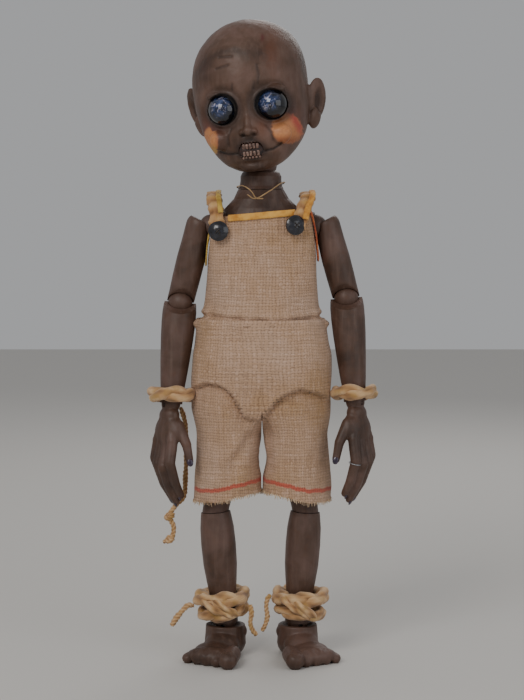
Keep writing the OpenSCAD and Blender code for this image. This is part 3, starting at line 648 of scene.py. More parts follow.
# the pale flecks show only inside the painted highlight
highlit_flecks = add(tree, "Math", {0: pale.outputs["Color"], 1: highlight_and_shade.outputs[0]}, operation="MULTIPLY")
fleck = add(tree, "Mix", {"Factor": highlit_flecks.outputs[0], "A": swirl.outputs["Color"], "B": paint("#e6def0")},
            data_type="RGBA")
shade = add(tree, "ValToRGB", {"Fac": highlight_and_shade.outputs[0]}, stops=[(0.1, 0.06), (0.65, 1.0)])
whole = add(tree, "Mix", {"Factor": 1.0, "A": fleck.outputs["Result"], "B": shade.outputs["Color"]},
            data_type="RGBA", blend_type="MULTIPLY")
tree.links.new(whole.outputs["Result"], shader.inputs["Base Color"])
for name in ("eye_r", "eye_l"):
    recoat(name, made)

# ---- teeth ----
# Two rows of small blunt pegs of pinkish acrylic, wiped with brown, pressed one by one into
# a near-black paste that is painted shade for the inside of the mouth, so that every gap is outlined.

made, tree, shader = finish_named("stained_tooth_acrylic", Roughness=0.42, IOR=1.49, Subsurface_Weight=0.08,
                                  Subsurface_Scale=0.002)
place = add(tree, "TexCoord").outputs["Object"]
stain = add(tree, "TexNoise", {"Vector": place, "Scale": 420, "Detail": 4})
tone = add(tree, "ValToRGB", {"Fac": stain.outputs["Fac"]},
           stops=[(0.32, "#4a352e"), (0.5, "#775c50"), (0.68, "#967a6c")])
tree.links.new(tone.outputs["Color"], shader.inputs["Base Color"])
tooth_acrylic = made
# near-black paste behind the teeth: painted shade for the inside of the mouth
made, tree, shader = finish_named("dark_mouth_shade_paste", Roughness=0.6)
place = add(tree, "TexCoord").outputs["Object"]
mottle = add(tree, "TexNoise", {"Vector": place, "Scale": 500, "Detail": 3})
tone = add(tree, "ValToRGB", {"Fac": mottle.outputs["Fac"]}, stops=[(0.35, "#1a0d0a"), (0.65, "#3d231b")])
tree.links.new(tone.outputs["Color"], shader.inputs["Base Color"])
mouth_shade_paste = made
pegs = []
for row, (low, high, width) in enumerate(((12.8, 17.8, 2.75), (6.2, 10.8, 2.55))):
    for k in range(7):
        x = (k - 3) * 3.15
        lean = noise.noise(Vector((k * 3.7, row * 9.1, 2.0)))
        deep = -54.6 + 0.05 * x * x + 0.5 * lean
        bpy.ops.mesh.primitive_cube_add(size=1)
        peg = bpy.context.object
        modify(peg, "BEVEL", width=0.26, segments=2)
        modify(peg, "SUBSURF", levels=1, render_levels=1)
        peg.data.transform(Matrix.Translation((x, deep, (low + high) / 2 + 0.4 * lean))
                @ Matrix.Rotation(radians(7 * lean), 4, "Y")
                @ Matrix.Diagonal((width * (1.06 + 0.16 * lean), 2.6, (high - low) * (1.05 + 0.15 * lean),
                                   1)))
        pegs.append(peg)
    # the second file of blunt crowns above and below the bite
    for k in range(6):
        x = (k - 2.5) * 3.0
        wobble = noise.noise(Vector((k * 5.1, row * 4.7, 8.0)))
        pegs.append(blob((x, -54.9 + 0.05 * x * x, (19.2 if row == 0 else 4.9) + 0.5 * wobble),
                         (1.25, 1.1, 1.15 + 0.3 * wobble), detail=12))
teeth = join(pegs, "teeth_pegs")
teeth.data.materials.append(tooth_acrylic)
settle(teeth, head_place)
teeth.data.shade_smooth()
# the dark fill behind the teeth, painted shade inside the mouth
mouth_shade_fill = blob((0, -50.6, 11.7), (12, 3.2, 8.6), detail=32)
mouth_shade_fill.name = mouth_shade_fill.data.name = "mouth_shade_paste"
for v in mouth_shade_fill.data.vertices:
    v.co += v.co.normalized() * 0.5 * noise.noise(v.co * 0.5)
mouth_shade_fill.data.materials.append(mouth_shade_paste)
settle(mouth_shade_fill, head_place)
mouth_shade_fill.data.shade_smooth()
for piece in (teeth, mouth_shade_fill):
    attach(piece, "head")
    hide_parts("teeth")

# ---- hands ----
# Long resin hands that hang with loosely curled fingers, cast in one with the wrist
# ball and slotted for the wire hook. The nails are painted a dark plum.

elbow = [Vector((-80, 4, 337)), Vector((76.5, 4, 341))]
wrist = [Vector((-88.5, -9, 242)), Vector((84.5, -9, 244))]
ankle = [Vector((-38, 3, 32)), Vector((31, 3, 32))]
knee = [Vector((-47, 0, 139)), Vector((38, 0, 139))]


def limb_frame(a, b):
    """The frame of a limb that hangs from a towards b along its own -Z."""
    u = (b - a).normalized()
    return Matrix.Translation(a) @ Matrix.Rotation(atan2(-u.x, -u.z), 4, "Y") @ Matrix.Rotation(asin(u.y),
                                                                                                4, "X")


made, tree, shader = finish_named("plum_nail_lacquer", Roughness=0.25, Coat_Weight=0.5, Coat_Roughness=0.1)
place = add(tree, "TexCoord").outputs["Object"]
chips = add(tree, "TexNoise", {"Vector": place, "Scale": 380, "Detail": 4})
tone = add(tree, "ValToRGB", {"Fac": chips.outputs["Fac"]},
           stops=[(0.35, "#1d1426"), (0.55, "#33223c"), (0.75, "#4c3a4a")])
tree.links.new(tone.outputs["Color"], shader.inputs["Base Color"])
lacquer = made

finger_bones = [
    [(1, -11.5, -36), (1.5, -13, -56), (-8, -12, -73), (-18, -10, -84)],
    [(1, -3.8, -38), (2.4, -4.2, -60), (-8, -4, -78), (-19, -3, -90)],
    [(1, 4, -37), (2.4, 4.4, -58), (-8, 4, -75), (-19, 4, -87)],
    [(1, 11.5, -35), (1.2, 12.6, -52), (-8, 12, -67), (-18, 11, -77)]]
thumb_bones = [(-3, -12, -20), (-9, -21, -37), (-13, -24, -52)]
thick = [5.6, 5.1, 4.6, 3.6]
for i, s in enumerate((-1, 1)):
    place = (limb_frame(elbow[i], wrist[i]) @ Matrix.Translation((0, 0, -(wrist[i] - elbow[i]).length))
             @ Matrix.Rotation(radians(-s * 38), 4, "Z") @ Matrix.Rotation(radians(-s * 3), 4, "Y"))
    if i == 0:
        place = place @ Matrix.Scale(-1, 4, (1, 0, 0))
    soft = [blob((0, 0, 0), (9, 9, 9), detail=40), blob((0, 0, -11), (8.4, 11.5, 9.5)),
            blob((-0.6, 0, -25), (9, 17, 17))]
    soft += [blob((-2, -11, -22), (6.4, 6.6, 12), turn=(-24, 0, 0)),
             blob((-2.5, 10, -24), (5.6, 5.2, 11), turn=(8, 0, 0))]
    for k, f in enumerate(finger_bones):
        slim = 0.92 if k == 3 else 1.0
        soft += bone((f[0][0] + 1.2, f[0][1] * 0.5, -16), 4.6, f[0], thick[0] * slim, 16)
        for j in range(3):
            soft += bone(f[j], thick[j] * slim * 0.97, f[j + 1], thick[j + 1] * slim, 16)
        soft += [blob(f[0], (5.7, 4.9, 5.4), detail=16),
                 blob(f[1], (4.9 * slim, 4.5 * slim, 4.9 * slim), detail=16)]
    soft += bone(thumb_bones[0], 5.8, thumb_bones[1], 4.7, 16) + bone(thumb_bones[1], 4.5, thumb_bones[2],
                                                                      3.6, 16)
    hand = join(soft, "hand_casting_" + "rl"[i])
    modify(hand, "REMESH", mode="VOXEL", voxel_size=0.75, use_smooth_shade=True)
    modify(hand, "SMOOTH", factor=0.5, iterations=9)
    for v in hand.data.vertices:
        # creases across the knuckles and the inside of each joint
        dent = 0.0
        for f in finger_bones:
            for j in (1, 2):
                d = (v.co - Vector(f[j])).length
                if d < 9 and v.co.x > f[j][0]:
                    way = (Vector(f[j + 1]) - Vector(f[j - 1])).normalized()
                    dent += 0.35 * cos(min(pi, abs((v.co - Vector(f[j])).dot(way)) * 2.2))
        v.co += v.co.normalized() * (0.25 * noise.noise(v.co * 0.09)) + Vector((-0.3 * dent, 0, 0))
    bpy.ops.mesh.primitive_cube_add(size=1)
    slit = bpy.context.object
    slit.data.transform(Matrix.Translation((0, 0, 10.8)) @ Matrix.Diagonal((40, 4, 30, 1)))
    modify(hand, "BOOLEAN", operation="DIFFERENCE", object=slit, solver="EXACT")
    bpy.data.objects.remove(slit)
    # a short pin across the slot takes the wire hook
    pin, *caps = bone((0, -3, 0), 1.2, (0, 3, 0), 1.2, 12)
    for cap in caps:
        bpy.data.objects.remove(cap)
    hand = join([hand, pin], "hand_casting_" + "rl"[i])
    hand.data.materials.clear()
    hand.data.materials.append(resin)
    settle(hand, place)
    nails = []
    for k, f in enumerate(finger_bones + [[None, *thumb_bones]]):
        a, b = Vector(f[2]), Vector(f[3])
        way = (b - a).normalized()
        outward = (Vector((1, 0, 0)) - way * way.x).normalized()
        if k == 4:
            outward = (Vector((0.5, -0.8, 0)) - way * way.dot(Vector((0.5, -0.8, 0)))).normalized()
        nail = blob((0, 0, 0), (2.5 if k < 4 else 2.9, 3.9, 0.9), detail=16)
        turn = Matrix((way.cross(outward), way, outward)).transposed().to_4x4()
        nail.data.transform(Matrix.Translation(b + way * 0.9 + outward * (2.55 if k < 4 else 3.0)) @ turn)
        nails.append(nail)
    nails = join(nails, "nails_hand_" + "rl"[i])
    nails.data.materials.append(lacquer)
    settle(nails, place)
    for piece in (hand, nails):
        piece.data.shade_smooth()
        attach(piece, "hand_" + "rl"[i])
        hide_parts("hand_" + "rl"[i])

# ---- upper arms ----
# The hollow upper arms are sanded after casting, so the rims of their cups are
# rounded over. Each is the cast shape with its edges softened.

for side_name in "rl":
    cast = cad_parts["upper_arm_" + side_name]
    bpy.ops.object.select_all(action="DESELECT")
    arm = cast.copy()
    arm.data = cast.data.copy()
    bpy.context.collection.objects.link(arm)
    arm.parent = None
    arm.matrix_world = cast.matrix_world.copy()
    arm.name = arm.data.name = "upper_arm_casting_" + side_name
    arm.select_set(True)
    bpy.context.view_layer.objects.active = arm
    bpy.ops.object.mode_set(mode="EDIT")
    bpy.ops.mesh.select_all(action="SELECT")
    bpy.ops.mesh.remove_doubles(threshold=0.00001)
    bpy.ops.object.mode_set(mode="OBJECT")
    bpy.ops.object.transform_apply(location=True, rotation=True, scale=True)
    modify(arm, "REMESH", mode="VOXEL", voxel_size=0.0008, use_smooth_shade=True)
    modify(arm, "SMOOTH", factor=0.5, iterations=16)
    arm.data.materials.clear()
    arm.data.materials.append(resin)
    arm.data.shade_smooth()
    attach(arm, "upper_arm_" + side_name)
    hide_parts("upper_arm_" + side_name)

# ---- feet ----
# Solid resin feet with a high instep and five toes, turned out, slotted on top for
# the ankle hook. Toenails are only pressed in and carry the skin's own brown.

for i, s in enumerate((-1, 1)):
    place = Matrix.Translation((ankle[i].x, ankle[i].y, 0)) @ Matrix.Rotation(radians(s * 17), 4, "Z")
    soft = [blob((0, 13, 11), (14, 13.5, 12.5)), blob((0, 0, 12), (19.5, 19.5, 15)),
            blob((-s * 1, -15, 12.5), (17, 20, 13), turn=(22, 0, 0)),
            blob((s * 2, -28, 8.4), (19.5, 18, 10)), blob((0, -39, 7.6), (24.5, 13, 8.8)),
            blob((-s * 16, 3, 23), (4.4, 6, 6)), blob((s * 16, 5, 20), (4.2, 6, 6))]
    bpy.ops.object.select_all(action="DESELECT")
    bpy.ops.mesh.primitive_cone_add(vertices=64, radius1=19.8, radius2=18.6, depth=19)
    cuff = bpy.context.object
    cuff.data.transform(Matrix.Translation((0, 0, 20.5)))
    soft.append(cuff)
    toes = []
    for k in range(5):
        x = -s * (19.5 - 10.4 * k + (k > 0) * -1.7)
        y = -47 + 2.2 * k
        r = 8.7 if k == 0 else 6.1 - 0.3 * k
        soft += bone((x * 0.9, y + 14, r + 0.6), r * 0.95, (x, y - (3 if k == 0 else 1), r * 0.92),
                     r * 0.96, 20)
        tip = (x, y - (5.6 if k == 0 else 3.4), r * 0.9)
        soft.append(blob(tip, (r * 1.04, r * 0.98, r * 0.96)))
        toes.append((x, tip[1], r))
    foot = join(soft, "foot_casting_" + "rl"[i])
    modify(foot, "REMESH", mode="VOXEL", voxel_size=0.95, use_smooth_shade=True)
    modify(foot, "SMOOTH", factor=0.5, iterations=3)
    for v in foot.data.vertices:
        for x, y, r in toes:
            # a pressed-in nail on each toe, with a shallow rim behind it
            d = sqrt(((v.co.x - x) / (r * 0.62)) ** 2 + ((v.co.y - (y - r * 0.25)) / (r * 0.7)) ** 2)
            if v.co.z > r:
                v.co.z -= 0.55 * (1 - smooth_step(0.75, 1.0, d)) - 0.25 * exp(-((d - 1.15) / 0.12) ** 2)
        v.co += v.co.normalized() * 0.35 * noise.noise(v.co * 0.07)
        if v.co.z < 0.9:
            v.co.z = 0.0 + max(0.0, v.co.z) * 0.15
    # a cup round the ankle ball, so that the foot can tip, and the ball with its slot
    bpy.ops.object.select_all(action="DESELECT")
    bpy.ops.mesh.primitive_cone_add(vertices=64, radius1=12.9, radius2=16.4, depth=7)
    cup = bpy.context.object
    cup.data.transform(Matrix.Translation((0, 0, 30.6)))
    modify(foot, "BOOLEAN", operation="DIFFERENCE", object=cup, solver="EXACT")
    bpy.data.objects.remove(cup)
    ball = blob((0, 0, 32), (10, 10, 10), detail=40)
    bpy.ops.object.select_all(action="DESELECT")
    bpy.ops.mesh.primitive_cube_add(size=1)
    slit = bpy.context.object
    slit.data.transform(Matrix.Translation((0, 0, 42.8)) @ Matrix.Diagonal((4, 40, 30, 1)))
    modify(ball, "BOOLEAN", operation="DIFFERENCE", object=slit, solver="EXACT")
    bpy.data.objects.remove(slit)
    foot = join([foot, ball], "foot_casting_" + "rl"[i])
    foot.data.materials.clear()
    foot.data.materials.append(resin)
    settle(foot, place)
    foot.data.shade_smooth()
    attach(foot, "foot_" + "rl"[i])
    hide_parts("foot_" + "rl"[i])

# ---- wire hooks, elastic, magnets, wax ----
# Bent piano wire, white braided elastic, nickelled magnets and black wax: what holds
# the castings together, mostly out of sight.

made, tree, shader = finish_named("drawn_steel_wire", Metallic=1.0)
place = add(tree, "TexCoord").outputs["Object"]
scuffs = add(tree, "TexNoise", {"Vector": place, "Scale": 900, "Detail": 3})
tone = add(tree, "ValToRGB", {"Fac": scuffs.outputs["Fac"]}, stops=[(0.3, "#8d8e92"), (0.7, "#c2c3c6")])
rough = add(tree, "MapRange", {"Value": scuffs.outputs["Fac"], "To Min": 0.22, "To Max": 0.5})
tree.links.new(tone.outputs["Color"], shader.inputs["Base Color"])
tree.links.new(rough.outputs["Result"], shader.inputs["Roughness"])
for name in ("neck_hook", "wrist_hook_r", "wrist_hook_l", "ankle_hook_r", "ankle_hook_l", "finger_ring_l",
             "cap_magnets"):
    recoat(name, made)
made, tree, shader = finish_named("braided_elastic", Roughness=0.85)
place = add(tree, "TexCoord").outputs["Object"]
braid = add(tree, "TexWave", {"Vector": place, "Scale": 220, "Distortion": 0.5}, wave_type="BANDS",
            bands_direction="DIAGONAL")
tone = add(tree, "ValToRGB", {"Fac": braid.outputs["Fac"]}, stops=[(0.2, "#b9b4a6"), (0.8, "#e2ded2")])
bump = add(tree, "Bump", {"Height": braid.outputs["Fac"], "Strength": 0.6, "Distance": 0.0003})
tree.links.new(tone.outputs["Color"], shader.inputs["Base Color"])
tree.links.new(bump.outputs["Normal"], shader.inputs["Normal"])
for name in ["torso_elastics"] + [a + "_elastic_" + b for a in ("upper_arm", "forearm", "thigh", "shin")
                                  for b in "rl"]:
    recoat(name, made)
made, tree, shader = finish_named("black_setting_wax", Roughness=0.7)
place = add(tree, "TexCoord").outputs["Object"]
thumbed = add(tree, "TexNoise", {"Vector": place, "Scale": 300, "Detail": 4})
tone = add(tree, "ValToRGB", {"Fac": thumbed.outputs["Fac"]}, stops=[(0.3, "#0e0a08"), (0.7, "#241a15")])
bump = add(tree, "Bump", {"Height": thumbed.outputs["Fac"], "Strength": 0.5, "Distance": 0.0008})
tree.links.new(tone.outputs["Color"], shader.inputs["Base Color"])
tree.links.new(bump.outputs["Normal"], shader.inputs["Normal"])
recoat("eye_wax", made)

# ---- wraps ----
# The same rolled cotton wound round each wrist once and round each ankle twice, the
# turns twisted over each other and tucked in, loose enough to slide.


def wound(centre_frame, radius, height, turns, thick, wobble, seed, sag=0.0):
    """Closed line, in millimetres, of one strand wound about a limb's own axis."""
    stops = []
    count = 14
    for k in range(count):
        a = 2 * pi * k / count
        r = radius + wobble * noise.noise(Vector((cos(a) * 1.3, sin(a) * 1.3, seed)))
        z = height + 1.6 * wobble * noise.noise(Vector((cos(a) * 1.1, sin(a) * 1.1,
                                                        seed + 7))) + sag * cos(a)
        r += thick * 0.55 * cos(turns * a + seed)
        z += thick * 0.75 * sin(turns * a + seed)
        stops.append(centre_frame @ Vector((r * cos(a), r * sin(a), z)))
    return through(stops, 1.5, closed=True)


def loop_cord(line, radius, **how):
    return roll(line, radius, closed=True, **how)


for i, s in enumerate((-1, 1)):
    side_name = "rl"[i]
    at_wrist = (limb_frame(elbow[i], wrist[i])
                @ Matrix.Translation((0, 0, -(wrist[i] - elbow[i]).length + 8.6))
                @ Matrix.Rotation(radians(s * 4), 4, "Y"))
    rolls = []
    for phase, fat, depth, seed in ((0, 4.5, 0.09, 4), (pi, 4.2, 0.1, 14)):
        turn = wound(at_wrist, 17.4, 0, 2, 3.9, 1.2, 1.0 + i + phase)
        rolls.append(loop_cord(turn, fat, pitch=60, depth=depth, lumps=0.3, seed=seed + i, strands=2))
    wrap = cord_piece("wrist_wrap_cloth_" + side_name, rolls, cotton)
    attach(wrap, "forearm_" + side_name)
    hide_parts("wrist_wrap_" + side_name)
    at_ankle = limb_frame(knee[i], ankle[i]) @ Matrix.Translation((0, 0, -(ankle[i] - knee[i]).length))
    rolls = []
    for height, radius, thick_here, tilt, seed in ((11.5, 20.0, 4.3, s * 5, 2.0),
                                                   (25, 21.2, 5.0, s * -3, 5.0)):
        ring_frame = (at_ankle @ Matrix.Translation((s * 1.1, 0, height))
                      @ Matrix.Rotation(radians(tilt), 4, "Y"))
        for j in range(2):
            rolls.append(loop_cord(wound(ring_frame, radius, 0, 2, 3.4, 1.5, seed + i * 3 + j * pi),
                    thick_here, pitch=52, depth=0.15, lumps=0.5, seed=seed * 3 + j + i * 9, strands=2))
    # a strand that crosses from the upper turn to the lower one and is tucked in behind
    for a0, a1 in ((-2.4, -1.2), (-1.9, -0.9), (0.3, 1.6)):
        stops = []
        for k in range(6):
            a = a0 + (a1 - a0) * k / 5
            stops.append(at_ankle @ Vector((s * 1.1 + (25.6 + 0.8 * sin(k)) * cos(a),
                                            (25.6 + 0.8 * sin(k)) * sin(a), 27 - 18 * k / 5)))
        rolls.append(roll(through(stops, 1.4), 3.4, pitch=40, depth=0.12, lumps=0.4, seed=a0 + i,
                          strands=2))
    wrap = cord_piece("ankle_wrap_cloth_" + side_name, rolls, cotton)
    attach(wrap, "shin_" + side_name)
    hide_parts("ankle_wrap_" + side_name)

# ---- romper: bib ----
# Coarse hessian, a plain weave of jute threads about 2.5 mm apart, cut in one piece
# that goes round the chest, gathered at the waist and cut away below each arm.


def hessian(name, stripe=False):
    """Hessian: dry, matt jute. Threads of uneven thickness and colour pass over and
    under each other; the small holes and dips between them are darkened as painted shade. UV is in
    millimetres."""
    made, tree, shader = finish_named(name, Roughness=0.95, Sheen_Weight=0.12, Sheen_Roughness=0.7)
    place = add(tree, "TexCoord")
    uv = add(tree, "SeparateXYZ", {"Vector": place.outputs["UV"]})
    coarse = add(tree, "Mapping", {"Vector": place.outputs["UV"], "Scale": (0.05, 0.05, 1)})
    bend = add(tree, "TexNoise", {"Vector": coarse.outputs[0], "Scale": 1.0, "Detail": 2})
    bent = add(tree, "Math", {0: bend.outputs["Fac"], 1: 5.0}, operation="MULTIPLY")
    threads = []
    for axis, pitch in (("X", 2.45), ("Y", 2.7)):
        moved = add(tree, "Math", {0: uv.outputs[axis], 1: bent.outputs[0]}, operation="ADD")
        turn = add(tree, "Math", {0: moved.outputs[0], 1: pi / pitch}, operation="MULTIPLY")
        threads.append(add(tree, "Math", {0: turn.outputs[0]}, operation="SINE"))
    warp, weft = (add(tree, "Math", {0: t.outputs[0]}, operation="ABSOLUTE") for t in threads)
    cross = add(tree, "Math", {0: threads[0].outputs[0], 1: threads[1].outputs[0]}, operation="MULTIPLY")
    over = add(tree, "MapRange", {"Value": cross.outputs[0], "From Min": -0.5, "From Max": 0.5,
                                  "To Min": 0.0, "To Max": 1.0})
    top = add(tree, "Mix", {"Factor": over.outputs["Result"], "A": warp.outputs[0], "B": weft.outputs[0]},
              data_type="FLOAT")
    along_x = add(tree, "Mapping", {"Vector": place.outputs["UV"], "Scale": (0.42, 0.035, 1)})
    slub_x = add(tree, "TexNoise", {"Vector": along_x.outputs[0], "Scale": 1.0, "Detail": 3,
                                    "Roughness": 0.7})
    along_y = add(tree, "Mapping", {"Vector": place.outputs["UV"], "Scale": (0.035, 0.42, 1)})
    slub_y = add(tree, "TexNoise", {"Vector": along_y.outputs[0], "Scale": 1.0, "Detail": 3,
                                    "Roughness": 0.7})
    slub = add(tree, "Mix", {"Factor": over.outputs["Result"], "A": slub_x.outputs["Fac"],
                             "B": slub_y.outputs["Fac"]}, data_type="FLOAT")
    age = add(tree, "TexNoise", {"Vector": place.outputs["Object"], "Scale": 17, "Detail": 4})
    yarn = add(tree, "ValToRGB", {"Fac": slub.outputs["Result"]},
               stops=[(0.33, "#7a5a40"), (0.47, "#b28d69"), (0.56, "#c4a085"), (0.68, "#dfbda5")])
    old = add(tree, "ValToRGB", {"Fac": age.outputs["Fac"]},
              stops=[(0.36, "#ae8658"), (0.5, "#c39e82"), (0.66, "#cfae98")])
    tone = add(tree, "Mix", {"Factor": 0.5, "A": yarn.outputs["Color"], "B": old.outputs["Color"]},
               data_type="RGBA")
    # painted shade in the small holes and dips between the threads
    gap_shade = add(tree, "ValToRGB", {"Fac": top.outputs["Result"]}, stops=[(0.16, 0.42), (0.5, 1.0)])
    dark = add(tree, "Mix", {"Factor": 0.8, "A": tone.outputs["Result"], "B": gap_shade.outputs["Color"]},
               data_type="RGBA", blend_type="MULTIPLY")
    colour = dark.outputs["Result"]
    if stripe:
        # one red thread line 8 to 12 mm above the hem; the second UV map counts from the hem
        hem = add(tree, "UVMap", uv_map="from_hem")
        up = add(tree, "SeparateXYZ", {"Vector": hem.outputs["UV"]})
        ragged = add(tree, "Math", {0: slub_x.outputs["Fac"], 1: 4.0, 2: up.outputs["Y"]},
                     operation="MULTIPLY_ADD")
        share = add(tree, "MapRange", {"Value": ragged.outputs[0], "From Min": 0, "From Max": 30})
        band = add(tree, "ValToRGB", {"Fac": share.outputs["Result"]},
                   stops=[(0.36, 0.0), (0.40, 0.9), (0.485, 0.9), (0.53, 0.0)])
        red = add(tree, "Mix", {"Factor": 1.0, "A": paint("#c2513c"), "B": gap_shade.outputs["Color"]},
                  data_type="RGBA", blend_type="MULTIPLY")
        colour = add(tree, "Mix", {"Factor": band.outputs["Color"], "A": colour,
                                   "B": red.outputs["Result"]}, data_type="RGBA").outputs["Result"]
    thread_up = add(tree, "Math", {0: slub.outputs["Result"], 1: 0.8, 2: top.outputs["Result"]},
                    operation="MULTIPLY_ADD")
    bump = add(tree, "Bump", {"Height": thread_up.outputs[0], "Strength": 0.7, "Distance": 0.0009})
    tree.links.new(colour, shader.inputs["Base Color"])
    tree.links.new(bump.outputs["Normal"], shader.inputs["Normal"])
    return made


plain_hessian = hessian("jute_hessian")
striped_hessian = hessian("jute_hessian_red_stripe", stripe=True)


def cloth_grid(name, columns, rows, closed, point, uv, coat, hem=None, keep=None):
    """A sheet of cloth from a grid of points in millimetres, with its thread map."""
    points = [tuple(c / 1000 for c in point(j, k)) for k in range(rows) for j in range(columns)]
    faces, maps, hems = [], [], []
    for k in range(rows - 1):
        for j in range(columns if closed else columns - 1):
            m = (j + 1) % columns
            corners = ((j, k), (j + 1, k), (j + 1, k + 1), (j, k + 1))
            face = (k * columns + j, k * columns + m, (k + 1) * columns + m, (k + 1) * columns + j)
            if keep and not keep(j, k):
                continue
            faces.append(face)
            maps += [uv(*c) for c in corners]
            if hem:
                hems += [hem(*c) for c in corners]
    mesh = bpy.data.meshes.new(name)
    mesh.from_pydata(points, [], faces)
    layer = mesh.uv_layers.new(name="UVMap")
    for k, pair in enumerate(maps):
        layer.data[k].uv = pair
    if hem:
        layer = mesh.uv_layers.new(name="from_hem")
        for k, pair in enumerate(hems):
            layer.data[k].uv = pair
    used = bmesh.new()
    used.from_mesh(mesh)
    bmesh.ops.delete(used, geom=[v for v in used.verts if not v.link_faces], context="VERTS")
    bmesh.ops.recalc_face_normals(used, faces=used.faces)
    used.to_mesh(mesh)
    used.free()
    made = bpy.data.objects.new(name, mesh)
    bpy.context.collection.objects.link(made)
    mesh.materials.append(coat)
    return made


MID = -3.0  # the doll's middle line, in millimetres
# each ring's height, its middle and its two radii, from the waist up
bib_rings = [(316, -3.5, 0, 60, 38), (320, -3.5, 0, 59.5, 37.5), (326, -3.5, 0, 56, 36),
        (340, -3, 0, 53.5, 34.5), (365, -3, 0, 51.4, 33.5), (392, -3, 0, 50.4, 32),
        (419, -3, 0, 48.5, 30.5), (432, -3, 0, 47.8, 30)]


def ring_at(rings, z):
    for k in range(len(rings) - 1):
        if z <= rings[k + 1][0] or k == len(rings) - 2:
            return between_rings(rings, k,
                                 max(0, min(1, (z - rings[k][0]) / (rings[k + 1][0] - rings[k][0]))))


def squarish(angle, rx, ry, power):
    c, s = cos(angle), sin(angle)
    r = (abs(c) ** power + abs(s) ** power) ** (-1 / power)
    return rx * r * c, ry * r * s


BIB_AROUND, BIB_UP = 200, 76  # cloth points round the chest, and from waist to edge


def bib_top(angle):
    """Height of the cut edge: a level front and back, and a scoop below each arm."""
    c = abs(cos(angle))
    front = 420.5 + (4.6 * cos(angle) if sin(angle) < 0 else 1.5)
    right = cos(angle) < 0
    low = 377 if right else 381
    return front + (low - front) * smooth_step(0.80, 0.985, c)


def bib_point(j, k):
    angle = 2 * pi * j / BIB_AROUND
    z = 316 + (bib_top(angle) - 316) * k / (BIB_UP - 1)
    _, xc, yc, rx, ry = ring_at(bib_rings, z)
    x, y = squarish(angle, rx, ry, 2.0 + 0.9 * smooth_step(330, 380, z))
    gather = exp(-((z - 321) / 9) ** 2)
    fold = 1.0 * cos(11 * angle + 1.5 * sin(3 * angle)) * gather + 0.7 * cos(19 * angle + 2) * gather
    broad = 1.6 * noise.noise(Vector((cos(angle) * 1.6, sin(angle) * 1.6, z * 0.018)))
    slant = 2 * sin(2 * angle + 1)
    ridge = 1.5 * exp(-((z - 327 - slant) / 2.6) ** 2) - 2.4 * exp(-((z - 322.5 - slant) / 2.2) ** 2)
    out = 1 + (fold + broad + ridge) / sqrt(x * x + y * y)
    return xc + x * out, yc + y * out, z


def bib_uv(j, k):
    angle = 2 * pi * j / BIB_AROUND
    high = bib_top(angle if j < BIB_AROUND else 0) - 316
    return 44 * 2 * pi * j / BIB_AROUND, 316 + high * k / (BIB_UP - 1)


CLOTH = 0.0014  # metres, the thickness of two crossed threads
bib = cloth_grid("romper_bib_cloth", BIB_AROUND, BIB_UP, True, bib_point, bib_uv, plain_hessian)
modify(bib, "SOLIDIFY", thickness=CLOTH, offset=-1)
bib.data.shade_smooth()
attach(bib, "torso")
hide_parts("romper_bib")

# ---- romper: shorts ----
# Two halves of the same hessian, seamed in the middle in front and behind. Each
# hangs from the waist, creases at the groin and ends in a frayed hem at the knee.

hip_rings = [(226, -3.5, 3, 65.5, 41), (250, -3.5, 2, 66, 43.5), (270, -3.5, 0, 66, 44),
        (288, -3.5, 0, 65, 43.5), (300, -3.5, 0, 62.5, 41.5), (312, -3.5, 0, 61, 39.5),
        (319, -3.5, 0, 61.5, 38.5), (322, -3.5, 0, 60, 37.5)]
leg_rings = [(150, 0, 31.5, 32), (175, 0, 31, 31.5), (200, 0, 30.8, 31.5), (228, 0, 30.6, 33),
             (252, 0, 30.4, 34.5)]
# the crease where each thigh meets the seat, as x and height, right side then left
groin = [[(-70, 255), (-56, 262.5), (-44, 261.5), (-36.5, 258), (-30.6, 252), (-24, 241), (-19, 231),
          (-8, 229), (-3, 229)],
         [(-3, 229), (1.5, 236.5), (9, 245), (18, 252.5), (32, 257.5), (47, 254), (64, 245)]]
AROUND, UP = 120, 118  # cloth points round a leg, and from hem to waist


def line_height(stops, x):
    for (x0, z0), (x1, z1) in zip(stops, stops[1:]):
        if x <= x1:
            return z0 + (z1 - z0) * max(0, (x - x0) / (x1 - x0))
    return stops[-1][1]


def shorts_hem(angle):
    inner = (1 - cos(angle)) / 2
    ragged = 0.9 * noise.noise(Vector((cos(angle) * 3, sin(angle) * 3, 4)))
    return 150.5 + 8.5 * smooth_step(0.15, 0.95, inner) + ragged


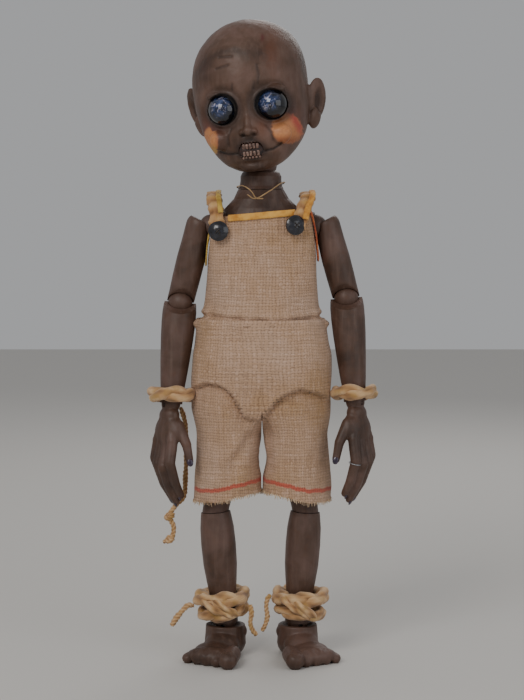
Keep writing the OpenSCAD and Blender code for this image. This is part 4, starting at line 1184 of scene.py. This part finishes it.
def make_half(i):
    s = (-1, 1)[i]
    hip_x = MID + 27 * s

    def point(j, k):
        angle = 2 * pi * j / AROUND
        low = shorts_hem(angle)
        z = low + (322 - low) * k / (UP - 1)
        cx = hip_x + s * (3.6 + 0.4 * smooth_step(154, 252, z))
        c, q = cos(angle), sin(angle)
        _, yc, rx, ry = ring_at(leg_rings, z)
        rx += 3.2 * smooth_step(220, 155, z) * max(c, 0) - 3.6 * exp(-((z - 190) / 15) ** 2) * max(-c, 0)
        leg = 1 / sqrt((c / rx) ** 2 + (q / ry) ** 2)
        _, hx, hy, hrx, hry = ring_at(hip_rings, z)
        # the ray from the leg's middle to the seat's outline, or to the centre seam
        ox, oy = (cx - hx) * s, -hy
        power = 2.35
        lo, hi = 0.0, 140.0
        for _ in range(22):
            m = (lo + hi) / 2
            inside = (abs((ox + m * c) / hrx) ** power + abs((oy + m * q) / hry) ** power) < 1 and (cx
                    - MID) * s + m * c > 0.15
            lo, hi = (m, hi) if inside else (lo, m)
        seat_x, seat_y = cx + s * lo * c, lo * q
        if (seat_x - MID) * s < 0.4:
            # past the seam the ray stops at the corner where the two halves meet
            edge = hry * (1 - abs((MID - hx) / hrx) ** power) ** (1 / power)
            seat_x, seat_y = MID + 0.02 * s, hy + (edge if q > 0 else -edge)
        t = smooth_step(211, 239, z)
        x, y = (cx + s * leg * c) * (1 - t) + seat_x * t, (yc + leg * q) * (1 - t) + seat_y * t
        move = Vector((0, 0, 0))
        outward = Vector((s * c * (1 - t) + t * s * max(0, c), q, 0))
        outward.normalize()
        front = smooth_step(0.1, 0.7, -q)
        crease = line_height(groin[i], x)
        gap = z - crease
        strength = front * (1 - 0.35 * smooth_step(0.6, 1, c))
        if gap > 0:
            lip = smooth_step(0, 2.2, gap)
            move += outward * strength * (3.0 * exp(-gap / 16) * lip - 1.6 * (1 - lip))
        else:
            move -= outward * strength * 5.6 * exp(gap / 13)
        back = smooth_step(0.2, 0.8, q)
        move -= outward * back * 2.4 * exp(-((z - 234 - 5 * c) / 4) ** 2)
        # long folds that run down from the groin, and one big drag line on the right leg
        move += outward * (1.1 * cos(5 * angle + 2.2 * i + z * 0.02) * smooth_step(236, 200, z) * 0.7)
        if i == 0:
            d, _ = near_line((x, z), [(-16, 214), (-24, 196), (-33, 176), (-37, 160)])
            move += outward * front * (-3.0 * exp(-(d / 5.5) ** 2))
            d, _ = near_line((x, z), [(-14, 222), (-26, 206), (-40, 190)])
            move += outward * front * 2.2 * exp(-(d / 5) ** 2)
        else:
            d, _ = near_line((x, z), [(2, 228), (3.5, 205), (5, 180)])
            move -= outward * front * 2.0 * exp(-(d / 4) ** 2)
        move += outward * 1.5 * noise.noise(Vector((x * 0.03, y * 0.03, z * 0.03)))
        move += outward * 0.5 * noise.noise(Vector((x * 0.11, y * 0.11, z * 0.07)))
        waist = exp(-((z - 318) / 6) ** 2)
        move += outward * (0.9 * cos(0.27 * x + 1) + 0.6 * cos(0.5 * x)) * waist
        move += outward * 3.0 * exp(-((z - 317) / 3.2) ** 2) * smooth_step(0.93, 1.0, c)
        if z < 240 and x * s < MID * s + 3:
            # the two legs stay clear of each other
            move.x = max(move.x * s, 0) * s
        px = x + move.x
        if (px - MID) * s < 0.02 + 0.6 * (1 - t):
            px = MID + (0.02 + 0.6 * (1 - t)) * s
        flare = 1.6 * noise.noise(Vector((cos(angle) * 2.6, sin(angle) * 2.6, i * 5.0)))
        flare *= smooth_step(162, 150, z)
        return px + s * c * flare * (0 if (c < -0.2) else 1), y + move.y + q * flare, z

    def uv(j, k):
        angle = 2 * pi * j / AROUND
        low = shorts_hem(angle if j < AROUND else 0)
        # the threads are counted from the front seam, so that they run on across it
        return s * 33 * ((angle - pi) % (2 * pi) - 0.957), low + (322 - low) * k / (UP - 1)

    def above_hem(j, k):
        angle = 2 * pi * j / AROUND
        low = shorts_hem(angle if j < AROUND else 0)
        return 33 * angle, (322 - low) * k / (UP - 1)

    def keep(j, k):
        x0, _, z0 = point(j, k)
        x1, _, _ = point((j + 1) % AROUND, k)
        return not (z0 > 236 and (x0 - MID) * s < 0.3 and (x1 - MID) * s < 0.3)

    return cloth_grid("romper_leg_cloth_" + "rl"[i], AROUND, UP, True, point, uv, striped_hessian,
                      hem=above_hem, keep=keep)


for i, s in enumerate((-1, 1)):
    half = make_half(i)
    hem_ring = [v.co.copy() * 1000 for v in half.data.vertices][:AROUND]
    modify(half, "SOLIDIFY", thickness=CLOTH, offset=-1)
    bpy.ops.object.select_all(action="DESELECT")
    half.select_set(True)
    bpy.context.view_layer.objects.active = half
    bpy.ops.object.shade_smooth_by_angle(angle=radians(50))
    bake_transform(half)
    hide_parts("romper_leg_" + "rl"[i], *(["romper_hips"] if i == 0 else []))
    # loose threads where the weft has been pulled out of the hem
    fringe = bmesh.new()
    for k in range(190):
        a = 2 * pi * k / 190 + 0.02 * noise.noise(Vector((k * 1.7, i, 3)))
        spot = hem_ring[int(a / (2 * pi) * AROUND) % AROUND]
        here = Vector(spot)
        long = 1.5 + 2.0 * abs(noise.noise(Vector((k * 0.83, 2.0, i * 4.0)))) * 2
        lean = Vector((noise.noise(Vector((k * 0.6, 7, i))) * 2.6,
                       noise.noise(Vector((k * 0.6, 17, i))) * 2.6, -long))
        wide = Vector((-sin(a), cos(a) * 1.0, 0)) * 0.42
        thick_here = Vector((cos(a), sin(a), 0)) * 0.3
        corners = (wide, thick_here - wide, -wide - thick_here)
        top = [fringe.verts.new((here + d + Vector((0, 0, 1.2))) / 1000) for d in corners]
        low = [fringe.verts.new((here + lean + d * 0.5) / 1000) for d in corners]
        for m in range(3):
            n = (m + 1) % 3
            fringe.faces.new((top[m], top[n], low[n], low[m]))
        fringe.faces.new(low)
        fringe.faces.new(tuple(reversed(top)))
    bmesh.ops.recalc_face_normals(fringe, faces=fringe.faces)
    mesh = bpy.data.meshes.new("hem_threads_" + "rl"[i])
    fringe.to_mesh(mesh)
    fringe.free()
    threads = bpy.data.objects.new(mesh.name, mesh)
    bpy.context.collection.objects.link(threads)
    if i == 0:
        made, tree, shader = finish_named("loose_jute_thread", Roughness=0.95)
        place = add(tree, "TexCoord").outputs["Object"]
        mixed = add(tree, "TexNoise", {"Vector": place, "Scale": 340, "Detail": 2})
        tone = add(tree, "ValToRGB", {"Fac": mixed.outputs["Fac"]},
                   stops=[(0.35, "#ab8a66"), (0.65, "#dcc3a4")])
        tree.links.new(tone.outputs["Color"], shader.inputs["Base Color"])
        loose_jute = made
    mesh.materials.append(loose_jute)
    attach(threads, "thigh_" + "rl"[i])

# ---- romper: bindings, straps and buttons ----
# Orange-yellow tape sewn over the cut edges, knotted cotton straps over the
# shoulders, and a shiny black coat button sewn on where each strap ends.


def tape(name, threads_per_mm, deep, middle, pale):
    """Woven tape: flat, faintly glossy ribs across its width, with painted shade in the dips between the
    ribs and worn patches.
    """
    made, tree, shader = finish_named(name, Roughness=0.8, Sheen_Weight=0.2, Sheen_Roughness=0.5)
    place = add(tree, "TexCoord")
    rib = add(tree, "TexWave", {"Vector": place.outputs["UV"], "Scale": 0.314 * threads_per_mm,
                                "Distortion": 1.0, "Detail": 2}, wave_type="BANDS", bands_direction="X")
    wear = add(tree, "TexNoise", {"Vector": place.outputs["Object"], "Scale": 130, "Detail": 4})
    # the ribs' height paints shade in their dips; the noise is wear
    rib_shade_and_wear = add(tree, "Math", {0: rib.outputs["Fac"], 1: 0.35, 2: wear.outputs["Fac"]},
               operation="MULTIPLY_ADD")
    tone = add(tree, "ValToRGB", {"Fac": rib_shade_and_wear.outputs[0]}, stops=[(0.4, deep), (0.62, middle), (0.9, pale)])
    bump = add(tree, "Bump", {"Height": rib_shade_and_wear.outputs[0], "Strength": 0.5, "Distance": 0.0005})
    tree.links.new(tone.outputs["Color"], shader.inputs["Base Color"])
    tree.links.new(bump.outputs["Normal"], shader.inputs["Normal"])
    return made


yellow_tape = tape("orange_yellow_tape", 1.1, "#a8641c", "#dd9a38", "#f0bd62")
old_yellow_tape = tape("worn_yellow_tape", 1.1, "#7a5a14", "#b8922e", "#d8b65a")
red_tape = tape("orange_red_tape", 1.1, "#93301c", "#c4552c", "#e08a3c")


def edge_tape(name, angles, width, coat, out=1.0, drop=0.0):
    """A folded tape along the bib's cut edge between two angles."""
    count = 46
    steps = 6

    def point(j, k):
        a = angles[0] + (angles[1] - angles[0]) * j / (count - 1)
        z = bib_top(a) + 0.9 - (width + 0.4 * noise.noise(Vector((j * 0.2, 3, 1)))) * k / (steps - 1) - drop
        _, xc, yc, rx, ry = ring_at(bib_rings, z)
        x, y = squarish(a, rx, ry, 2.0 + 0.9 * smooth_step(330, 380, z))
        swell = out + 0.5 * sin(pi * k / (steps - 1)) + 0.25 * noise.noise(Vector((j * 0.4, k, 5)))
        broad = 1.6 * noise.noise(Vector((cos(a) * 1.6, sin(a) * 1.6, z * 0.018)))
        far = 1 + (swell + broad) / sqrt(x * x + y * y)
        return xc + x * far, yc + y * far, z

    made = cloth_grid(name, count, steps, False, point, lambda j,
                      k: (44 * (angles[1] - angles[0]) * j / (count - 1), k * 1.2), coat)
    modify(made, "SOLIDIFY", thickness=0.0011, offset=0)
    made.data.shade_smooth()
    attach(made, "torso")
    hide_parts("romper_bindings")
    return made


front, rear = 3 * pi / 2, pi / 2
edge_tape("bib_top_tape_front", (front - 0.60, front + 0.60), 6.0, yellow_tape)
edge_tape("bib_top_tape_back", (rear - 0.60, rear + 0.60), 6.0, yellow_tape)
edge_tape("armhole_tape_right", (pi - 0.66, pi + 0.66), 6.4, old_yellow_tape, out=1.8)
edge_tape("armhole_tape_left", (-0.66, 0.66), 6.4, red_tape, out=1.8)


def strap_route(i):
    """Middle line of a strap, from its button over the shoulder to the back."""
    s = (-1, 1)[i]
    front_x = -44.2 if i == 0 else 30.5
    top_x = -47.8 if i == 0 else 39.5
    stops = [(front_x, -31.5, 402 if i == 0 else 407), (front_x - 0.5 + (2 if i else 0), -31.3, 412),
            (top_x - s * (2 if i == 0 else 4.5), -29.2, 424), (top_x, -20, 434.0), (top_x, -8, 438),
            (top_x, 4, 438.5), (top_x, 17, 435.5), (top_x - s * 1, 27.2, 427), (top_x - s * 3, 31.6, 414),
            (top_x - s * 5, 33.2, 402)]
    return through(stops, 1.5)


knotted_cotton = rolled_cotton("knotted_cotton_strap", "#6a4424", "#a9794a", "#d3aa78", "#b98a2c")
for i, s in enumerate((-1, 1)):
    line = strap_route(i)
    across_cells = 14
    ring_count = len(line)
    points, faces, maps, heights = [], [], [], []
    for k, p in enumerate(line):
        ahead = (line[min(k + 1, ring_count - 1)] - line[max(k - 1, 0)]).normalized()
        wide = Vector((1, 0, 0)) - ahead * ahead.x
        wide.normalize()
        out = ahead.cross(wide)
        half_w = 6.6 + 0.9 * noise.noise(p * 0.09 + Vector((i * 7, 0, 0)))
        for j in range(across_cells):
            a = 2 * pi * j / across_cells
            knob = noise.noise(Vector((cos(a) * 1.5 + i * 9, sin(a) * 1.5, k * 0.33))) + 0.5 * cos(k
                    * 0.78 + 2.2 * sin(a))
            c, q = cos(a), sin(a)
            w = half_w * (abs(c) ** 0.7) * (1 if c > 0 else -1)
            h = (2.1 + 1.0 * knob) * (abs(q) ** 0.8) * (1 if q > 0 else -1)
            points.append(tuple(v / 1000 for v in (p + wide * (w + 1.3 * knob * c) + out * h)))
            # the knobs' height, used for painted shade between the knobs and a painted highlight on them
            heights.append(max(0, min(1, 0.5 + 0.45 * knob)))
    for k in range(ring_count - 1):
        for j in range(across_cells):
            m = (j + 1) % across_cells
            faces.append((k * across_cells + j, k * across_cells + m, (k + 1) * across_cells + m,
                          (k + 1) * across_cells + j))
            maps += [(j * 2.0, k * 1.5), (j * 2.0 + 2, k * 1.5), (j * 2.0 + 2, k * 1.5 + 1.5),
                     (j * 2.0, k * 1.5 + 1.5)]
    faces += [tuple(reversed(range(across_cells))),
              tuple((ring_count - 1) * across_cells + j for j in range(across_cells))]
    maps += [(0.0, 0.0)] * (2 * across_cells)
    mesh = bpy.data.meshes.new("knotted_strap_" + "rl"[i])
    mesh.from_pydata(points, [], faces)
    layer = mesh.uv_layers.new(name="UVMap")
    for k, pair in enumerate(maps):
        layer.data[k].uv = pair
    shade = mesh.color_attributes.new("crown", "FLOAT_COLOR", "POINT")
    for k, value in enumerate(heights):
        shade.data[k].color = (value, value, value, 1)
    fix = bmesh.new()
    fix.from_mesh(mesh)
    bmesh.ops.recalc_face_normals(fix, faces=fix.faces)
    fix.to_mesh(mesh)
    fix.free()
    mesh.shade_smooth()
    strap = bpy.data.objects.new(mesh.name, mesh)
    bpy.context.collection.objects.link(strap)
    mesh.materials.append(knotted_cotton)
    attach(strap, "torso")
    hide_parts("strap_" + "rl"[i])

    # a length of the yellow tape stitched along the strap's inner edge over the shoulder
    first, last = (int(ring_count * 0.16), int(ring_count * 0.52)) if i == 0 else (int(ring_count * 0.1),
                                                                                   int(ring_count * 0.5))

    def lining_point(j, k, line=line, s=s, i=i, first=first):
        p = line[first + j]
        ahead = (line[min(first + j + 1, len(line) - 1)] - line[first + j - 1]).normalized()
        wide = (Vector((1, 0, 0)) - ahead * ahead.x).normalized()
        out = -ahead.cross(wide)
        if out.dot(p - Vector((p.x, 1, 405))) < 0:
            out = -out
        x = (-s * 6.6 + s * 4.4 * k / 4) if i == 0 else (s * (1.5 + 5.4 * k / 4))
        return p + wide * x + out * (2.7 + 0.6 * sin(pi * k / 4)
                                     + 0.3 * noise.noise(Vector((j * 0.3, k, 2))))

    lining = cloth_grid("strap_tape_" + "rl"[i], last - first, 5, False, lining_point, lambda j,
                        k: (j * 1.5, k * 1.1), old_yellow_tape if i == 0 else yellow_tape)
    modify(lining, "SOLIDIFY", thickness=0.001, offset=0)
    lining.data.shade_smooth()
    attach(lining, "torso")

dark_thread = rolled_cotton("dark_button_thread", "#17120f", "#2a221d", "#3b302a", "#17120f")
made, tree, shader = finish_named("polished_casein_button", Roughness=0.16, IOR=1.54, Coat_Weight=0.35,
                                  Coat_Roughness=0.08)
place = add(tree, "TexCoord").outputs["Object"]
cloudy = add(tree, "TexNoise", {"Vector": place, "Scale": 210, "Detail": 4, "Distortion": 0.8})
tone = add(tree, "ValToRGB", {"Fac": cloudy.outputs["Fac"]},
           stops=[(0.35, "#0b0b10"), (0.58, "#1b1d2a"), (0.78, "#3c3a3a")])
rough = add(tree, "MapRange", {"Value": cloudy.outputs["Fac"], "To Min": 0.1, "To Max": 0.45})
tree.links.new(tone.outputs["Color"], shader.inputs["Base Color"])
tree.links.new(rough.outputs["Result"], shader.inputs["Roughness"])
for i, (spot, face) in enumerate((((-43.3, -34.2, 404.3), (-0.10, -1, 0.06)),
                                  ((28.2, -36.2, 409.6), (0.42, -1, 0.05)))):
    bpy.ops.object.select_all(action="DESELECT")
    bpy.ops.mesh.primitive_cylinder_add(vertices=48, radius=9.25, depth=5.4)
    button = bpy.context.object
    bpy.ops.mesh.primitive_uv_sphere_add(segments=64, ring_count=32, radius=14.8)
    dome = bpy.context.object
    dome.data.transform(Matrix.Translation((0, 0, -11.9)))
    modify(button, "BOOLEAN", operation="INTERSECT", object=dome, solver="EXACT")
    bpy.data.objects.remove(dome)
    for k in range(4):
        bpy.ops.mesh.primitive_cylinder_add(vertices=16, radius=0.95, depth=12)
        drill = bpy.context.object
        drill.data.transform(Matrix.Translation((2.3 * cos(pi / 4 + k * pi / 2),
                                                 2.3 * sin(pi / 4 + k * pi / 2), 0)))
        modify(button, "BOOLEAN", operation="DIFFERENCE", object=drill, solver="EXACT")
        bpy.data.objects.remove(drill)
    button.name = button.data.name = "strap_button_" + "rl"[i]
    button.data.materials.clear()
    button.data.materials.append(made)
    turn = Vector(face).to_track_quat("Z", "Y").to_matrix().to_4x4()
    settle(button, Matrix.Translation(spot) @ turn)
    bpy.ops.object.select_all(action="DESELECT")
    button.select_set(True)
    bpy.context.view_layer.objects.active = button
    bpy.ops.object.shade_smooth_by_angle(angle=radians(35))
    stitch_rolls = []
    for a in (pi / 4, 3 * pi / 4):
        ends = [Matrix.Translation(spot) @ turn @ Vector((2.3 * cos(a + t), 2.3 * sin(a + t), h)) for t,
                h in ((0, -2.5), (0, 3.0), (pi, 3.0), (pi, -2.5))]
        stitch_rolls.append(roll(through(ends, 0.6), 0.42, strands=2, pitch=2, around=6, seed=a))
    stitch = cord_piece("button_thread_" + "rl"[i], stitch_rolls, dark_thread)
    for piece, finish in ((button, "button"), (stitch, "cotton_strip")):
        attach(piece, "torso")
    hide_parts("strap_buttons")

# ---- floor and lights ----
# A plain pale floor and three soft studio lamps, the largest above and to the left.

bpy.ops.object.select_all(action="DESELECT")
bpy.ops.mesh.primitive_plane_add(size=8, location=(0, 0, 0))
floor = bpy.context.object
floor.name = "studio_floor"
made, tree, shader = finish_named("matt_floor_paint", Roughness=0.9)
shader.inputs["Base Color"].default_value = paint("#d2cfca")
floor.data.materials.append(made)
for name, spot, size, power, tint in (("key_lamp", (-0.9, -1.6, 1.5), 0.9, 17, (1.0, 0.97, 0.93)),
                                      ("fill_lamp", (1.3, -1.2, 0.8), 1.2, 5.5, (0.95, 0.97, 1.0)),
                                      ("back_lamp", (0.4, 1.5, 1.4), 1.0, 7, (1.0, 0.98, 0.96))):
    bpy.ops.object.light_add(type="AREA", location=spot)
    lamp = bpy.context.object
    lamp.name = name
    lamp.rotation_euler = (Vector((0, 0, 0.32)) - Vector(spot)).to_track_quat("-Z", "Y").to_euler()
    lamp.data.size = size
    lamp.data.energy = power
    lamp.data.color = tint
world = bpy.context.scene.world or bpy.data.worlds.new("studio")
bpy.context.scene.world = world
world.use_nodes = True
world.node_tree.nodes["Background"].inputs["Color"].default_value = paint("#d9dadc")
world.node_tree.nodes["Background"].inputs["Strength"].default_value = 0.55
